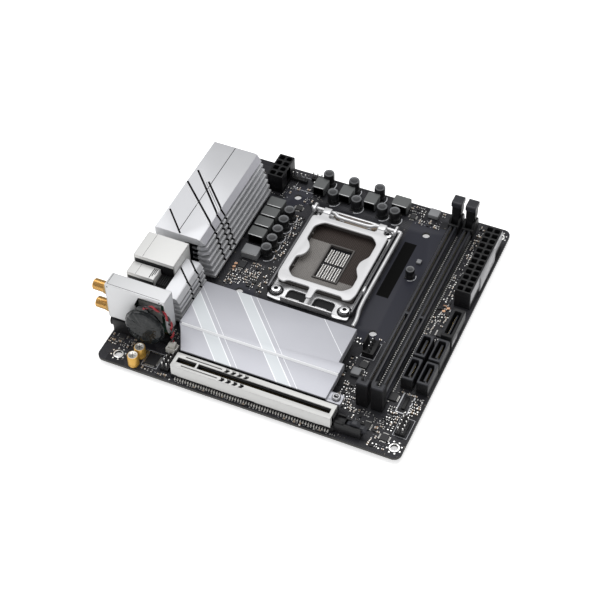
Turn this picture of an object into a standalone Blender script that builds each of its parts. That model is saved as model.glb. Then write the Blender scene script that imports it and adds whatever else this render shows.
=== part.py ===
"""A mini-ITX motherboard, as the separate pieces it is assembled from.

Lengths are in millimetres here and become metres as each mesh is made. The board frame
has X from the rear connector edge to the front edge, Y from the expansion-slot edge to
the top edge, and Z = 0 on the board's upper face. An empty carries every piece, so that
the whole object stands on Z = 0 with the middle of its box at the origin.
"""

from math import cos, pi, radians, sin

import bmesh
import bpy
from mathutils import Matrix, Vector

MM = 0.001
GAP = 0.3                       # running and seating gap between neighbours

# Board
BOARD_HALF = 85.0
BOARD_THICK = 1.57
BOARD_CORNER = 4.0
TAIL_DEPTH = 2.2                # solder tails and backplate stand this far below the board
UNDER = -BOARD_THICK - TAIL_DEPTH
MOUNT_HOLES = ((-74.84, -78.65), (80.10, -78.65), (80.10, 78.83), (-51.98, 78.83))
MOUNT_HOLE_R = 1.98

# Processor socket, cooler holes and loading mechanism
SOCKET_X, SOCKET_Y = 3.12, 25.2
COOLER_PITCH = 78.0
COOLER_HOLE_R = 2.1
SOCKET_WIDE, SOCKET_LONG, SOCKET_TALL = 43.0, 51.0, 3.4
SOCKET_WELL_WIDE, SOCKET_WELL_LONG, SOCKET_FLOOR = 38.2, 45.6, 1.2
SOCKET_EYE = (-2.5, 10.5, 10.0, 35.0)       # capacitor opening in the socket floor
FRAME_SCREWS = ((-16.9, -7.2), (23.1, -7.2), (-16.9, 54.0), (23.1, 54.0))
FRAME_SCREW_HOLE_R = 1.9
FRAME_SHEET = (0.5, 1.6)
FRAME_RAILS = ((-21.9, -20.5), (26.7, 28.0))
FRAME_RAIL_TOP = 4.4
FRAME_FRONT, FRAME_BACK = -13.2, 59.5
PLATE_X = (-19.9, 25.6)
PLATE_Y = (-1.5, 50.0)
PLATE_Z = (5.1, 6.3)
PLATE_WINDOW = (-15.5, 21.5, 2.0, 46.0)
HINGE_Y, HINGE_Z = 56.4, 4.3
LEVER_R = 1.1
LEVER_X = 30.2

# Heatsinks
VRM_X, VRM_Y, VRM_TOP = (-84.5, -50.0), (-13.5, 59.0), 30.0
CHIPSET_SINK_X, CHIPSET_SINK_Y, CHIPSET_SINK_TOP = (-62.1, -50.7), (-50.0, -21.5), 22.0
M2_TOP, M2_THICK = 12.0, 5.0
M2_SCREW = (44.5, -68.2)

# Expansion slot
PCIE_Y = -78.3
PCIE_X = (-42.3, 57.5)
PCIE_SHIELD_X = (-41.5, 47.5)
PCIE_TOP = 11.5
PCIE_KEY_X = -28.5
PCIE_LATCH_PIVOT = (61.0, 3.0)

# Memory slots
DIMM_CENTRES = (55.2, 63.4)
DIMM_WIDE, DIMM_BODY_WIDE, DIMM_TALL = 6.4, 5.2, 5.6
DIMM_Y = (-61.4, 81.6)
DIMM_TOWER_TOP = 18.0
DIMM_LATCH_TOP = 20.6
DIMM_LATCH_PIVOT = (77.5, 3.5)
DIMM_KEY_Y = 2.0

# Rear panel
REAR_X = -86.5
ANTENNA_Y = -61.0
ANTENNA_Z = (28.0, 14.2)
WIFI_X, WIFI_Y, WIFI_TOP = (-86.0, -51.4), (-65.6, -56.6), 36.0
BATTERY_CENTRE = (-63.2, -69.35, 17.0)
BATTERY_R, BATTERY_THICK = 12.0, 4.0
BATTERY_TILT = 6.0


# ---- shape helpers: each returns (points, faces) of one closed shape ----

def extrusion(outline, low, high, axis="Z"):
    """A flat outline pushed along an axis. Its two coordinates are the other two axes in X, Y, Z order."""
    place = {
        "Z": lambda a, b, h: (a, b, h),
        "Y": lambda a, b, h: (a, h, b),
        "X": lambda a, b, h: (h, a, b),
    }[axis]
    n = len(outline)
    points = [place(a, b, h) for h in (low, high) for a, b in outline]
    faces = [tuple(range(n - 1, -1, -1)), tuple(range(n, 2 * n))]
    faces += [(i, (i + 1) % n, n + (i + 1) % n, n + i) for i in range(n)]
    return points, faces


def box(x, y, z):
    return extrusion([(x[0], y[0]), (x[1], y[0]), (x[1], y[1]), (x[0], y[1])], *z)


def box_at(x, y, wide, long, z):
    return box((x - wide / 2, x + wide / 2), (y - long / 2, y + long / 2), z)


def ring(centre, radius, sides, start=0.0):
    return [
        (centre[0] + radius * cos(start + 2 * pi * i / sides),
         centre[1] + radius * sin(start + 2 * pi * i / sides))
        for i in range(sides)
    ]


def rod(centre, radius, low, high, axis="Z", sides=14):
    return extrusion(ring(centre, radius, sides), low, high, axis)


def rounded(x, y, radius, steps=4):
    """A rectangle's outline with round corners."""
    corners = ((x[1], y[1], 0), (x[0], y[1], 1), (x[0], y[0], 2), (x[1], y[0], 3))
    points = []
    for cx, cy, quarter in corners:
        mid_x = cx - radius if cx == x[1] else cx + radius
        mid_y = cy - radius if cy == y[1] else cy + radius
        for i in range(steps + 1):
            turn = (quarter + i / steps) * pi / 2
            points.append((mid_x + radius * cos(turn), mid_y + radius * sin(turn)))
    return points


def turned(profile, centre, axis="Z", sides=14):
    """Rings of (radius, height) skinned about an axis, closed by a flat face at both ends."""
    place = {
        "Z": lambda a, b, h: (centre[0] + a, centre[1] + b, centre[2] + h),
        "X": lambda a, b, h: (centre[0] + h, centre[1] + a, centre[2] + b),
    }[axis]
    points, faces = [], []
    for radius, height in profile:
        points += [place(a, b, height) for a, b in ring((0, 0), radius, sides)]
    for level in range(len(profile) - 1):
        for i in range(sides):
            a, b = level * sides + i, level * sides + (i + 1) % sides
            faces.append((a, b, b + sides, a + sides))
    faces.append(tuple(range(sides - 1, -1, -1)))
    faces.append(tuple(range(len(points) - sides, len(points))))
    return points, faces


def swept(path, radius, sides=8):
    """A round wire along a polyline, mitred at its bends."""
    path = [Vector(p) for p in path]
    points, faces = [], []
    side = None
    for i, here in enumerate(path):
        before = (here - path[i - 1]).normalized() if i else (path[1] - here).normalized()
        after = (path[i + 1] - here).normalized() if i + 1 < len(path) else before
        along = (before + after).normalized()
        stretch = 1 / max(0.5, along.dot(before))
        if side is None:
            side = along.orthogonal().normalized()
        side = (side - along * side.dot(along)).normalized()
        other = along.cross(side)
        bend = (after - before)
        bend = bend.normalized() if bend.length > 1e-6 else None
        for k in range(sides):
            turn = 2 * pi * (k + 0.5) / sides
            offset = (side * cos(turn) + other * sin(turn)) * radius
            if bend is not None:
                offset += bend * offset.dot(bend) * (stretch - 1)
            points.append(here + offset)
    for level in range(len(path) - 1):
        for k in range(sides):
            a, b = level * sides + k, level * sides + (k + 1) % sides
            faces.append((a, b, b + sides, a + sides))
    faces.append(tuple(range(sides - 1, -1, -1)))
    faces.append(tuple(range(len(points) - sides, len(points))))
    return points, faces


# ---- scene helpers ----

def material(name, colour, roughness, metallic):
    made = bpy.data.materials.new(name)
    made.use_nodes = True
    shader = made.node_tree.nodes["Principled BSDF"]
    shader.inputs["Base Color"].default_value = (*colour, 1.0)
    shader.inputs["Roughness"].default_value = roughness
    shader.inputs["Metallic"].default_value = metallic
    made.diffuse_color = (*colour, 1.0)
    return made


def mesh_of(name, shapes, pivot=(0, 0, 0)):
    """One mesh of several closed shapes, in metres about the pivot."""
    work = bmesh.new()
    for points, faces in shapes:
        corners = [work.verts.new((Vector(p) - Vector(pivot)) * MM) for p in points]
        for face in faces:
            work.faces.new([corners[i] for i in face])
    bmesh.ops.recalc_face_normals(work, faces=work.faces)
    mesh = bpy.data.meshes.new(name)
    work.to_mesh(mesh)
    work.free()
    return mesh


def add_object(name, mesh, pivot=(0, 0, 0)):
    obj = bpy.data.objects.new(name, mesh)
    bpy.context.scene.collection.objects.link(obj)
    obj.parent = board_frame
    obj.location = Vector(pivot) * MM
    return obj


def piece(name, look, body, added=(), cut=(), pivot=(0, 0, 0)):
    """One named solid: a closed shape, with shapes joined to it and shapes cut from it."""
    obj = add_object(name, mesh_of(name, [body], pivot), pivot)
    obj.data.materials.append(look)
    for operation, shapes in (("UNION", added), ("DIFFERENCE", cut)):
        for number, shape in enumerate(shapes):
            group = shape if isinstance(shape, list) else [shape]
            tool_name = f"{name}_{operation.lower()}_{number}"
            tool = add_object(tool_name, mesh_of(tool_name, group, pivot), pivot)
            tool.hide_render = True
            tool.display_type = "WIRE"
            joint = obj.modifiers.new(tool_name, "BOOLEAN")
            joint.operation = operation
            joint.solver = "EXACT"
            joint.object = tool
    obj.data.shade_smooth()
    obj.data.set_sharp_from_angle(angle=radians(35))
    return obj


# ---- pieces ----

def circuit_board():
    """The laminate, with its holes and the rows of solder tails under the connectors."""
    holes = [rod(c, MOUNT_HOLE_R, -3, 1, sides=16) for c in MOUNT_HOLES]
    half = COOLER_PITCH / 2
    holes += [
        rod((SOCKET_X + i * half, SOCKET_Y + j * half), COOLER_HOLE_R, -3, 1, sides=16)
        for i in (-1, 1) for j in (-1, 1)
    ]
    holes += [rod(c, FRAME_SCREW_HOLE_R, -3, 1, sides=12) for c in FRAME_SCREWS]
    tails = (
        ((-40.0, 48.0), (PCIE_Y - 2.6, PCIE_Y + 2.6)),
        ((76.0, 82.0), (22.0, 71.0)),
        ((-81.0, -64.0), (-33.0, -18.0)),
        ((-81.0, -66.0), (37.0, 53.0)),
        ((-53.0, -46.5), (63.0, 79.0)),
        ((DIMM_CENTRES[0] - 2, DIMM_CENTRES[1] + 2), (-52.0, 70.0)),
        ((-84.0, -72.0), (-64.0, -47.0)),
    )
    rows = [box(x, y, (UNDER, -BOARD_THICK + 0.4)) for x, y in tails]
    edge = (-BOARD_HALF, BOARD_HALF)
    piece("circuit_board", PCB, extrusion(rounded(edge, edge, BOARD_CORNER), -BOARD_THICK, 0),
          added=[rows], cut=[holes])


def socket():
    """Socket housing with its well, contact field, frame, screws and backplate."""
    well = box_at(SOCKET_X, SOCKET_Y, SOCKET_WELL_WIDE, SOCKET_WELL_LONG, (SOCKET_FLOOR, 9))
    eye = box(SOCKET_EYE[:2], SOCKET_EYE[2:], (-1, 9))
    piece("socket_body", SOCKET_PLASTIC,
          box_at(SOCKET_X, SOCKET_Y, SOCKET_WIDE, SOCKET_LONG, (GAP, SOCKET_TALL)),
          cut=[well, eye])
    piece("contact_field", CONTACTS,
          box_at(SOCKET_X, SOCKET_Y, SOCKET_WELL_WIDE - 1, SOCKET_WELL_LONG - 1,
                 (SOCKET_FLOOR + 0.15, SOCKET_FLOOR + 0.75)),
          cut=[eye])
    plate = box((-33.0, 38.0), (-14.0, 62.0), (UNDER, -BOARD_THICK - 0.15))
    shanks = [rod(c, FRAME_SCREW_HOLE_R, UNDER - 1, 0, sides=12) for c in FRAME_SCREWS]
    cap_window = box((-9.0, 16.0), (8.0, 42.0), (UNDER - 1, 0))
    piece("socket_backplate", DARK_STEEL, plate, cut=[shanks + [cap_window]])
    for number, (x, y) in enumerate(FRAME_SCREWS, 1):
        top = FRAME_SHEET[1] + 0.15
        rise = 2.0 if y < 0 else 1.1
        profile = [(1.6, UNDER + 0.2), (1.6, top), (2.9, top), (2.9, top + rise - 0.5), (2.4, top + rise)]
        piece(f"frame_screw_{number}", SCREW_STEEL, turned(profile, (x, y, 0)),
              cut=[rod((x, y), 1.2, top + 0.5, top + 3, sides=6)])


def socket_frame():
    """The stamped steel frame: a front apron, side rails, and hinge seats at the back."""
    low, high = FRAME_SHEET
    outer = (FRAME_RAILS[0][0], FRAME_RAILS[1][1])
    body = box(outer, (FRAME_FRONT, FRAME_BACK), (low, high))
    window = box_at(SOCKET_X, SOCKET_Y, SOCKET_WIDE + 0.8, SOCKET_LONG + 0.8, (-1, 9))
    rails = [box(x, (FRAME_FRONT + 5, FRAME_BACK - 2), (low + 0.2, FRAME_RAIL_TOP)) for x in FRAME_RAILS]
    lip = box((-12.0, 18.0), (FRAME_FRONT, FRAME_FRONT + 1.1), (low + 0.2, 4.6))
    seats = [
        box((a, b), (HINGE_Y - 3.2, HINGE_Y + 2.6), (low + 0.2, HINGE_Z + 2.6))
        for a, b in FRAME_RAILS
    ]
    stop = box((27.6, 28.6), (6.0, 10.0), (low + 0.5, 6.8))
    journals = [rod((HINGE_Y, HINGE_Z), LEVER_R + GAP, a, b, "X", 12) for a, b in ((-23, -20), (26, 29))]
    shanks = [rod(c, FRAME_SCREW_HOLE_R, -1, 4, sides=12) for c in FRAME_SCREWS]
    ports = [box((-8.0, 1.0), (-10.2, -5.2), (-1, 3)), box((4.6, 14.4), (-10.2, -5.2), (-1, 3))]
    corners = [box((x - 3.4, x + 3.4), (FRAME_FRONT - 1, -10.6), (-1, 3)) for x, y in FRAME_SCREWS[:2]]
    piece("socket_frame", LIGHT_STEEL, body, added=[rails + [lip], seats, stop],
          cut=[[window], journals, shanks + ports, corners])


def load_plate():
    """The plate that presses on the processor: it hinges on the lever's shaft."""
    x, y = PLATE_X, PLATE_Y
    left, right, low, high = PLATE_WINDOW
    window = extrusion(rounded((left, right), (low, high), 4.0, 3), 0, 9)
    pads = [
        extrusion([(left - 1, 17.5), (left + 4.5, 21.0), (left + 4.5, 27.0), (left - 1, 30.5)],
                  PLATE_Z[0] - 0.5, PLATE_Z[1]),
        extrusion([(right + 1, 30.5), (right - 3.5, 27.0), (right - 3.5, 21.0), (right + 1, 17.5)],
                  PLATE_Z[0] - 0.5, PLATE_Z[1]),
    ]
    tongue = box((0.9, 4.3), (-9.4, 1.0), PLATE_Z)
    arms = [box((a, b), (y[1] - 1, HINGE_Y + 0.2), (HINGE_Z + LEVER_R + GAP, PLATE_Z[1] + 0.6))
            for a, b in ((-15.5, -11.0), (17.5, 22.0))]
    notches = [rod(c, 4.1, 0, 9, sides=14) for c in FRAME_SCREWS[:2]]
    plate = extrusion(rounded(x, y, 2.0, 2), *PLATE_Z)
    obj = piece("load_plate", LIGHT_STEEL, plate, pivot=(SOCKET_X, HINGE_Y, HINGE_Z),
                added=[], cut=[[window] + notches])
    for number, shapes in enumerate((pads, [tongue], arms)):
        tool = add_object(f"load_plate_part_{number}",
                          mesh_of("part", shapes, (SOCKET_X, HINGE_Y, HINGE_Z)),
                          (SOCKET_X, HINGE_Y, HINGE_Z))
        tool.hide_render = True
        tool.display_type = "WIRE"
        joint = obj.modifiers.new(f"part_{number}", "BOOLEAN")
        joint.operation = "UNION"
        joint.object = tool


def load_lever():
    """A bent steel wire: cranked shaft along X, arm along -Y, and a finger bend at its end."""
    shaft = HINGE_Z
    crank = 2.3
    path = [
        (-23.4, HINGE_Y, shaft), (-9.5, HINGE_Y, shaft), (-6.5, HINGE_Y - crank, shaft), (12.5, HINGE_Y - crank, shaft),
        (15.5, HINGE_Y, shaft), (28.6, HINGE_Y, shaft), (LEVER_X, HINGE_Y - 1.6, shaft),
        (LEVER_X, -3.5, shaft), (LEVER_X + 1.6, -10.5, shaft + 0.3),
        (LEVER_X + 1.9, -17.5, shaft + 0.3),
    ]
    piece("load_lever", LIGHT_STEEL, swept(path, LEVER_R), pivot=(SOCKET_X, HINGE_Y, HINGE_Z))


def comb(x, z, core_x, fins, web=0.52):
    """A heatsink's end outline in X and Z: a solid back, and fins whose tips step out downwards."""
    (left, right), (low, high) = x, z
    pitch = (high - low) / fins
    slope = (right - core_x[1]) / (high - low)
    points = [(left, high), (left, low)]
    for i in range(fins):
        base, top = low + i * pitch, low + i * pitch + pitch * web
        tip = right - slope * (base - low)
        points += [(tip, base), (tip, top)]
        if i + 1 < fins:
            points += [(core_x[0], top), (core_x[0], base + pitch)]
    tip = right - slope * ((fins - 1) * pitch)
    points[-1] = (tip, high - 0.8)
    points.append((tip - 0.8, high))
    return points


def heatsinks():
    fins = comb((VRM_X[0], VRM_X[1]), (3.2, VRM_TOP), (-66.0, -58.0), 7)
    io_bay = box((VRM_X[0] - 1, -67.5), (VRM_Y[0] - 1, VRM_Y[1] + 1), (0, 23.6))
    piece("vrm_heatsink", SILVER, extrusion(fins, *VRM_Y, axis="Y"), cut=[io_bay])
    piece("vrm_thermal_pad", PAD, box((-65.5, -51.5), (VRM_Y[0] + 4, VRM_Y[1] - 4), (1.6, 2.9)))
    small = comb(CHIPSET_SINK_X, (4.6, CHIPSET_SINK_TOP), (-58.0, -54.0), 5)
    piece("chipset_heatsink", SILVER, extrusion(small, *CHIPSET_SINK_Y, axis="Y"))
    piece("chipset", CHIP, box((-61.8, -48.6), (-46.0, -24.0), (GAP, 4.2)))


def m2_bay():
    """The flat plate over the drive bay, with its screw, pad and socket."""
    low = M2_TOP - M2_THICK
    outline = [
        (-49.9, -24.0), (-49.9, -55.5), (-47.6, -59.0), (-41.0, -71.7), (48.0, -71.7),
        (48.0, -65.2), (40.3, -65.2), (40.3, -48.0), (37.3, -48.0), (37.3, -24.0),
    ]
    step = box((-60.0, 60.0), (-80.0, -55.0), (M2_TOP - 0.8, M2_TOP + 1))
    tab = box((40.3, 60.0), (-80.0, -60.0), (M2_TOP - 2.2, M2_TOP + 1))
    hole = rod(M2_SCREW, 1.5, low - 1, M2_TOP + 1, sides=12)
    piece("m2_heatsink", SILVER, extrusion(outline, low, M2_TOP), cut=[step, tab, hole])
    top = M2_TOP - 2.2 + 0.1
    profile = [(1.2, 0.4), (1.2, top), (2.3, top), (2.3, top + 0.9), (1.9, top + 1.3)]
    piece("m2_heatsink_screw", SCREW_STEEL, turned(profile, (*M2_SCREW, 0), sides=12))
    piece("m2_thermal_pad", PAD, box((-38.0, 30.0), (-50.0, -30.0), (5.6, low - GAP)))
    slot = box((-60.0, -36.0), (-50.2, -29.8), (2.2, 3.2))
    piece("m2_socket", BLACK, box((-46.0, -37.5), (-51.0, -29.0), (GAP, 4.4)), cut=[slot])


def expansion_slot():
    """The long slot: black body, bright sheet shield around it, and an end latch."""
    low, high = GAP, PCIE_TOP - 0.9
    half = 3.7
    groove = [
        box((PCIE_SHIELD_X[0] + 1.5, PCIE_KEY_X - 0.9), (PCIE_Y - 0.9, PCIE_Y + 0.9), (2.4, 20)),
        box((PCIE_KEY_X + 0.9, PCIE_SHIELD_X[1] - 1.5), (PCIE_Y - 0.9, PCIE_Y + 0.9), (2.4, 20)),
    ]
    lowered = box((PCIE_SHIELD_X[1] + 1.2, 80), (PCIE_Y - 9, PCIE_Y + 9), (7.4, 20))
    bay = box((58.0 - 4.2, 80), (PCIE_Y - 1.6, PCIE_Y + 1.6), (1.6, 20))
    piece("pcie_slot", BLACK, box((PCIE_X[0], 63.0), (PCIE_Y - half, PCIE_Y + half), (low, high)),
          cut=[groove, lowered, bay])
    outer = half + 0.95
    hollow = box((PCIE_SHIELD_X[0] - 1, PCIE_SHIELD_X[1] + 1),
                 (PCIE_Y - half - GAP, PCIE_Y + half + GAP), (0, high + GAP))
    mouths = [
        box((PCIE_SHIELD_X[0] + 1.4, PCIE_KEY_X - 0.6), (PCIE_Y - 1.6, PCIE_Y + 1.6), (2, 20)),
        box((PCIE_KEY_X + 0.6, PCIE_SHIELD_X[1] - 1.4), (PCIE_Y - 1.6, PCIE_Y + 1.6), (2, 20)),
    ]
    piece("pcie_slot_shield", BRIGHT_STEEL,
          box(PCIE_SHIELD_X, (PCIE_Y - outer, PCIE_Y + outer), (3.9, PCIE_TOP)),
          cut=[hollow, mouths])
    x, z = PCIE_LATCH_PIVOT
    side = [(x - 6.6, 6.6), (x - 5.6, 4.6), (x - 1.9, z - 0.9), (x + 0.6, z - 0.9), (x + 4.3, z + 2.6),
            (x + 4.3, z + 5.0), (x + 2.9, z + 5.0), (x + 1.4, z + 3.8), (x - 1.0, 9.2), (x - 6.0, 9.2)]
    piece("pcie_slot_latch", BLACK, extrusion(side, PCIE_Y - 1.3, PCIE_Y + 1.3, axis="Y"),
          pivot=(x, PCIE_Y, z))


def memory_slots():
    """Two slots: a low grooved housing, a fixed tower at one end and a swinging latch at the other."""
    for letter, x in zip("ab", DIMM_CENTRES):
        half = DIMM_WIDE / 2
        slim = DIMM_BODY_WIDE / 2
        y0, y1 = DIMM_Y
        tower = box((x - half, x + half), (y0, y0 + 5.8), (GAP + 0.1, DIMM_TOWER_TOP))
        end_block = box((x - half, x + half), (y1 - 10.6, y1), (GAP + 0.1, DIMM_TALL + 0.2))
        groove = [
            box((x - 0.8, x + 0.8), (y0 + 2.8, DIMM_KEY_Y - 0.8), (2.4, 20)),
            box((x - 0.8, x + 0.8), (DIMM_KEY_Y + 0.8, y1 - 8.6), (2.4, 20)),
        ]
        cheeks = [
            box((a, b), (y1 - 8.0, y1 - 1.0), (1.0, DIMM_TALL + 3.4))
            for a, b in ((x - half + 0.1, x - half + 1.1), (x + half - 1.1, x + half - 0.1))
        ]
        pocket = box((x - half + 1.1, x + half - 1.1), (y1 - 9.0, y1 + 2), (1.2, 20))
        piece(f"dimm_slot_{letter}", BLACK, box((x - slim, x + slim), (y0 + 0.8, y1 - 0.4), (GAP, DIMM_TALL)),
              added=[tower, end_block, cheeks], cut=[groove, pocket])
        py, pz = DIMM_LATCH_PIVOT
        inner = half - 1.1 - GAP
        top = DIMM_LATCH_TOP
        stem = [(py - 2.4, pz - 1.3), (py + 1.4, pz - 1.3), (py + 2.4, pz + 2.6), (py + 2.2, 16.4),
                (py + 3.8, 18.2), (py + 3.8, top), (py - 3.2, top), (py - 3.2, 17.0), (py - 0.8, 13.6),
                (py - 1.2, 7.4)]
        head = [(py + 2.2, 16.8), (py + 3.8, 18.3), (py + 3.8, top), (py - 3.2, top), (py - 3.2, 17.2),
                (py - 2.9, 16.8)]
        piece(f"dimm_latch_{letter}", BLACK,
              extrusion(stem, x - inner, x + inner, axis="X"),
              added=[extrusion(head, x - half + 0.2, x + half - 0.2, axis="X")],
              pivot=(x, py, pz))


def grid(x, y, rows, columns, wide, long, z):
    """Openings on a regular grid, centred on x and y."""
    return [
        box_at(x[0] + (x[1] - x[0]) * (i + 0.5) / columns, y[0] + (y[1] - y[0]) * (j + 0.5) / rows,
               wide, long, z)
        for i in range(columns) for j in range(rows)
    ]


def power_connectors():
    x, y, top = (74.3, 83.2), (21.0, 72.4), 12.8
    cells = grid((74.6, 82.9), (y[0] + 0.3, y[1] - 0.3), 12, 2, 3.1, 3.1, (3.0, 20))
    rib = box((83.0, 84.3), (35.0, 58.0), (1.0, 12.0))
    piece("atx_power_connector", BLACK, box(x, y, (GAP, top)), added=[rib], cut=[cells])
    cells = grid((-53.9, -45.3), (63.4, 80.6), 4, 2, 3.1, 3.1, (3.0, 20))
    piece("cpu_power_connector", BLACK, box((-54.2, -45.0), (63.0, 81.0), (GAP, 12.8)), cut=[cells])


def data_connectors():
    """Four upright serial drive ports, the front Type-C header and a four-way fan header."""
    places = ((72.1, -17.9), (80.5, -17.9), (72.1, -34.6), (80.5, -34.6))
    for number, (x, y) in enumerate(places, 1):
        well = box_at(x, y, 4.4, 12.4, (1.8, 20))
        blade = box((x - 0.6, x + 0.6), (y - 5.2, y + 5.2), (1.0, 7.0))
        obj = piece(f"sata_port_{number}", BLACK, box_at(x, y, 6.6, 15.4, (GAP, 8.6)), cut=[well])
        tool = add_object(f"blade_{number}", mesh_of("blade", [blade]))
        tool.hide_render = True
        tool.display_type = "WIRE"
        joint = obj.modifiers.new("blade", "BOOLEAN")
        joint.operation = "UNION"
        joint.object = tool
    piece("usb_c_header", BLACK, box((77.5, 84.2), (-8.6, 12.0), (GAP, 9.5)),
          cut=[box((79.0, 82.7), (-6.4, 9.8), (3.0, 20))])
    key = box((42.4, 43.6), (-28.6, -22.0), (0.6, 9.4))
    pins = [box_at(46.0, -28.9 + 2.54 * i, 0.64, 0.64, (1.0, 11.2)) for i in range(4)]
    piece("fan_header", BLACK, box((42.4, 48.8), (-30.2, -20.0), (GAP, 3.2)), added=[[key, *pins]])


def rear_connectors():
    """Shielded connector stacks along the rear edge, each open towards -X."""
    def mouth(y, z, deep=12.0):
        return box((REAR_X - 2, REAR_X + deep), y, z)

    piece("lan_usb_stack", BRIGHT_STEEL, box((REAR_X, -62.5), (-34.5, -16.4), (GAP, 28.0)),
          cut=[[mouth((-31.6, -18.6), (15.2, 25.6)), mouth((-32.0, -18.8), (1.6, 6.4)),
                mouth((-32.0, -18.8), (8.2, 13.0))]])
    piece("usb_stack_shell", BRIGHT_STEEL, box((REAR_X, -70.2), (-43.4, -35.0), (GAP, 23.4)),
          cut=[[mouth((-41.9, -36.9), (1.8, 13.2)), mouth((-41.2, -37.8), (14.6, 21.8))]])
    piece("usb_stack_core", BLACK, box((-69.9, -62.6), (-43.2, -35.2), (GAP, 20.6)))
    piece("display_stack", BRIGHT_STEEL, box((REAR_X, -68.0), (36.5, 53.5), (GAP, 22.6)),
          cut=[[mouth((38.0, 52.2), (2.0, 7.0)), mouth((37.2, 52.8), (11.6, 16.8))]])
    piece("usb_port_stack", BRIGHT_STEEL, box((REAR_X, -69.0), (8.0, 22.6), (GAP, 16.4)),
          cut=[[mouth((9.0, 21.6), (1.8, 6.6)), mouth((9.0, 21.6), (9.2, 14.0))]])
    for number, y in enumerate((-61.4, -50.6), 1):
        block = box((REAR_X + 2.4, -72.5), (y - 4.9, y + 4.9), (GAP, 10.2))
        nose = rod((y, 5.2), 3.6, REAR_X - 0.2, REAR_X + 3, "X", 12)
        piece(f"audio_jack_{number}", BLACK, block, added=[nose],
              cut=[rod((y, 5.2), 2.1, REAR_X - 2, REAR_X + 9, "X", 10)])


def wireless():
    """Sheet-metal box around an upright radio card, with two threaded antenna jacks."""
    x, y, top = WIFI_X, WIFI_Y, WIFI_TOP
    wall = 0.7
    inside = box((x[0] + wall, x[1] - wall), (y[0] + wall, y[1] - wall), (0, top - wall))
    near_cut = extrusion([(-60.0, 0), (x[1] + 2, 0), (x[1] + 2, 33.6), (-66.5, 33.6), (-69.5, 27.0)],
                         y[0] - 1, y[0] + 2, axis="Y")
    foot_cut = box((x[0] - 1, -60.0), (y[0] - 1, y[0] + 2), (0, 11.2))
    jacks = [rod((ANTENNA_Y, z), 3.0, x[0] - 2, x[0] + 2, "X", 12) for z in ANTENNA_Z]
    piece("wifi_shield", SHEET, box(x, y, (10.7, top)),
          cut=[inside, near_cut, foot_cut, jacks])
    card = [(-72.0, 3.0), (-53.2, 3.0), (-53.2, 33.0), (-75.2, 33.0), (-75.2, 10.9), (-72.0, 10.9)]
    piece("wifi_card", CARD, extrusion(card, -60.2, -59.3, axis="Y"))
    piece("wifi_socket", BLACK, box((-72.1, -53.0), (-63.6, -57.6), (GAP, 4.6)),
          cut=[box((-80.0, -50.0), (-60.5, -59.0), (2.6, 9))])
    for label, z in zip(("upper", "lower"), ANTENNA_Z):
        profile = [(2.7, 3.2), (2.7, -0.4), (4.0, -0.4), (4.0, -2.4), (3.1, -2.4), (3.1, -9.2)]
        piece(f"antenna_jack_{label}", GOLD,
              turned([(r, h) for r, h in reversed(profile)], (x[0], ANTENNA_Y, z), "X", 12),
              cut=[rod((ANTENNA_Y, z), 1.9, x[0] - 12, x[0] - 3.5, "X", 10)])


def battery():
    """A wrapped coin cell leaning on the radio box, with a short lead to its board header."""
    x, y, z = BATTERY_CENTRE
    half = BATTERY_THICK / 2
    tilt = Matrix.Rotation(radians(90 - BATTERY_TILT), 4, "X")
    points, faces = turned([(BATTERY_R - 1.1, -half), (BATTERY_R, -half + 1.0), (BATTERY_R, half - 1.0),
                            (BATTERY_R - 1.1, half)], (0, 0, 0), sides=20)
    placed = [tilt @ Vector(p) + Vector((x, y, z)) for p in points]
    piece("battery", WRAP, (placed, faces))
    piece("battery_header", WHITE, box((-52.4, -46.4), (-68.2, -63.6), (GAP, 3.6)),
          cut=[box((-51.6, -47.2), (-67.4, -62.6), (1.2, 20))])
    piece("battery_plug", WHITE, box((-51.2, -47.6), (-67.0, -64.0), (1.6, 6.4)))
    route = LEAD_ROUTE
    curve = bpy.data.curves.new("battery_lead", "CURVE")
    curve.dimensions = "3D"
    curve.bevel_depth = 1.4 * MM
    curve.bevel_resolution = 2
    curve.use_fill_caps = True
    line = curve.splines.new("POLY")
    smooth = smooth_points(route, 10)
    line.points.add(len(smooth) - 1)
    for point, place in zip(line.points, smooth):
        point.co = (*(place * MM), 1.0)
    curve.materials.append(RED_WIRE)
    add_object("battery_lead", curve)


def smooth_points(route, count):
    """Points at even steps along a Catmull-Rom curve through the route."""
    nodes = [Vector(p) for p in route]
    nodes = [2 * nodes[0] - nodes[1], *nodes, 2 * nodes[-1] - nodes[-2]]
    fine = []
    for a, b, c, d in zip(nodes, nodes[1:], nodes[2:], nodes[3:]):
        for i in range(24):
            t = i / 24
            fine.append(0.5 * (2 * b + (c - a) * t + (2 * a - 5 * b + 4 * c - d) * t * t
                               + (3 * b - a - 3 * c + d) * t ** 3))
    fine.append(nodes[-2])
    reach = [0.0]
    for a, b in zip(fine, fine[1:]):
        reach.append(reach[-1] + (b - a).length)
    out, at = [], 0
    for i in range(count):
        want = reach[-1] * i / (count - 1)
        while at < len(fine) - 2 and reach[at + 1] < want:
            at += 1
        share = (want - reach[at]) / max(1e-9, reach[at + 1] - reach[at])
        out.append(fine[at].lerp(fine[at + 1], min(1.0, share)))
    return out


def chokes():
    """Power chokes: four beside the large heatsink and four along the top edge."""
    places = [(-42.6, y, 9.4, 7.2) for y in (49.8, 41.7, 33.3, 24.8)]
    places += [(-25.5, 73.6, 7.2, 8.6), (-9.7, 73.6, 7.2, 8.6), (5.6, 73.6, 7.2, 8.6), (22.0, 77.6, 9.6, 8.0)]
    for number, (x, y, wide, long) in enumerate(places, 1):
        top = extrusion(rounded((x - wide / 2, x + wide / 2), (y - long / 2, y + long / 2), 0.8, 2), GAP, 6.6)
        piece(f"choke_{number}", FERRITE, top)


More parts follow.
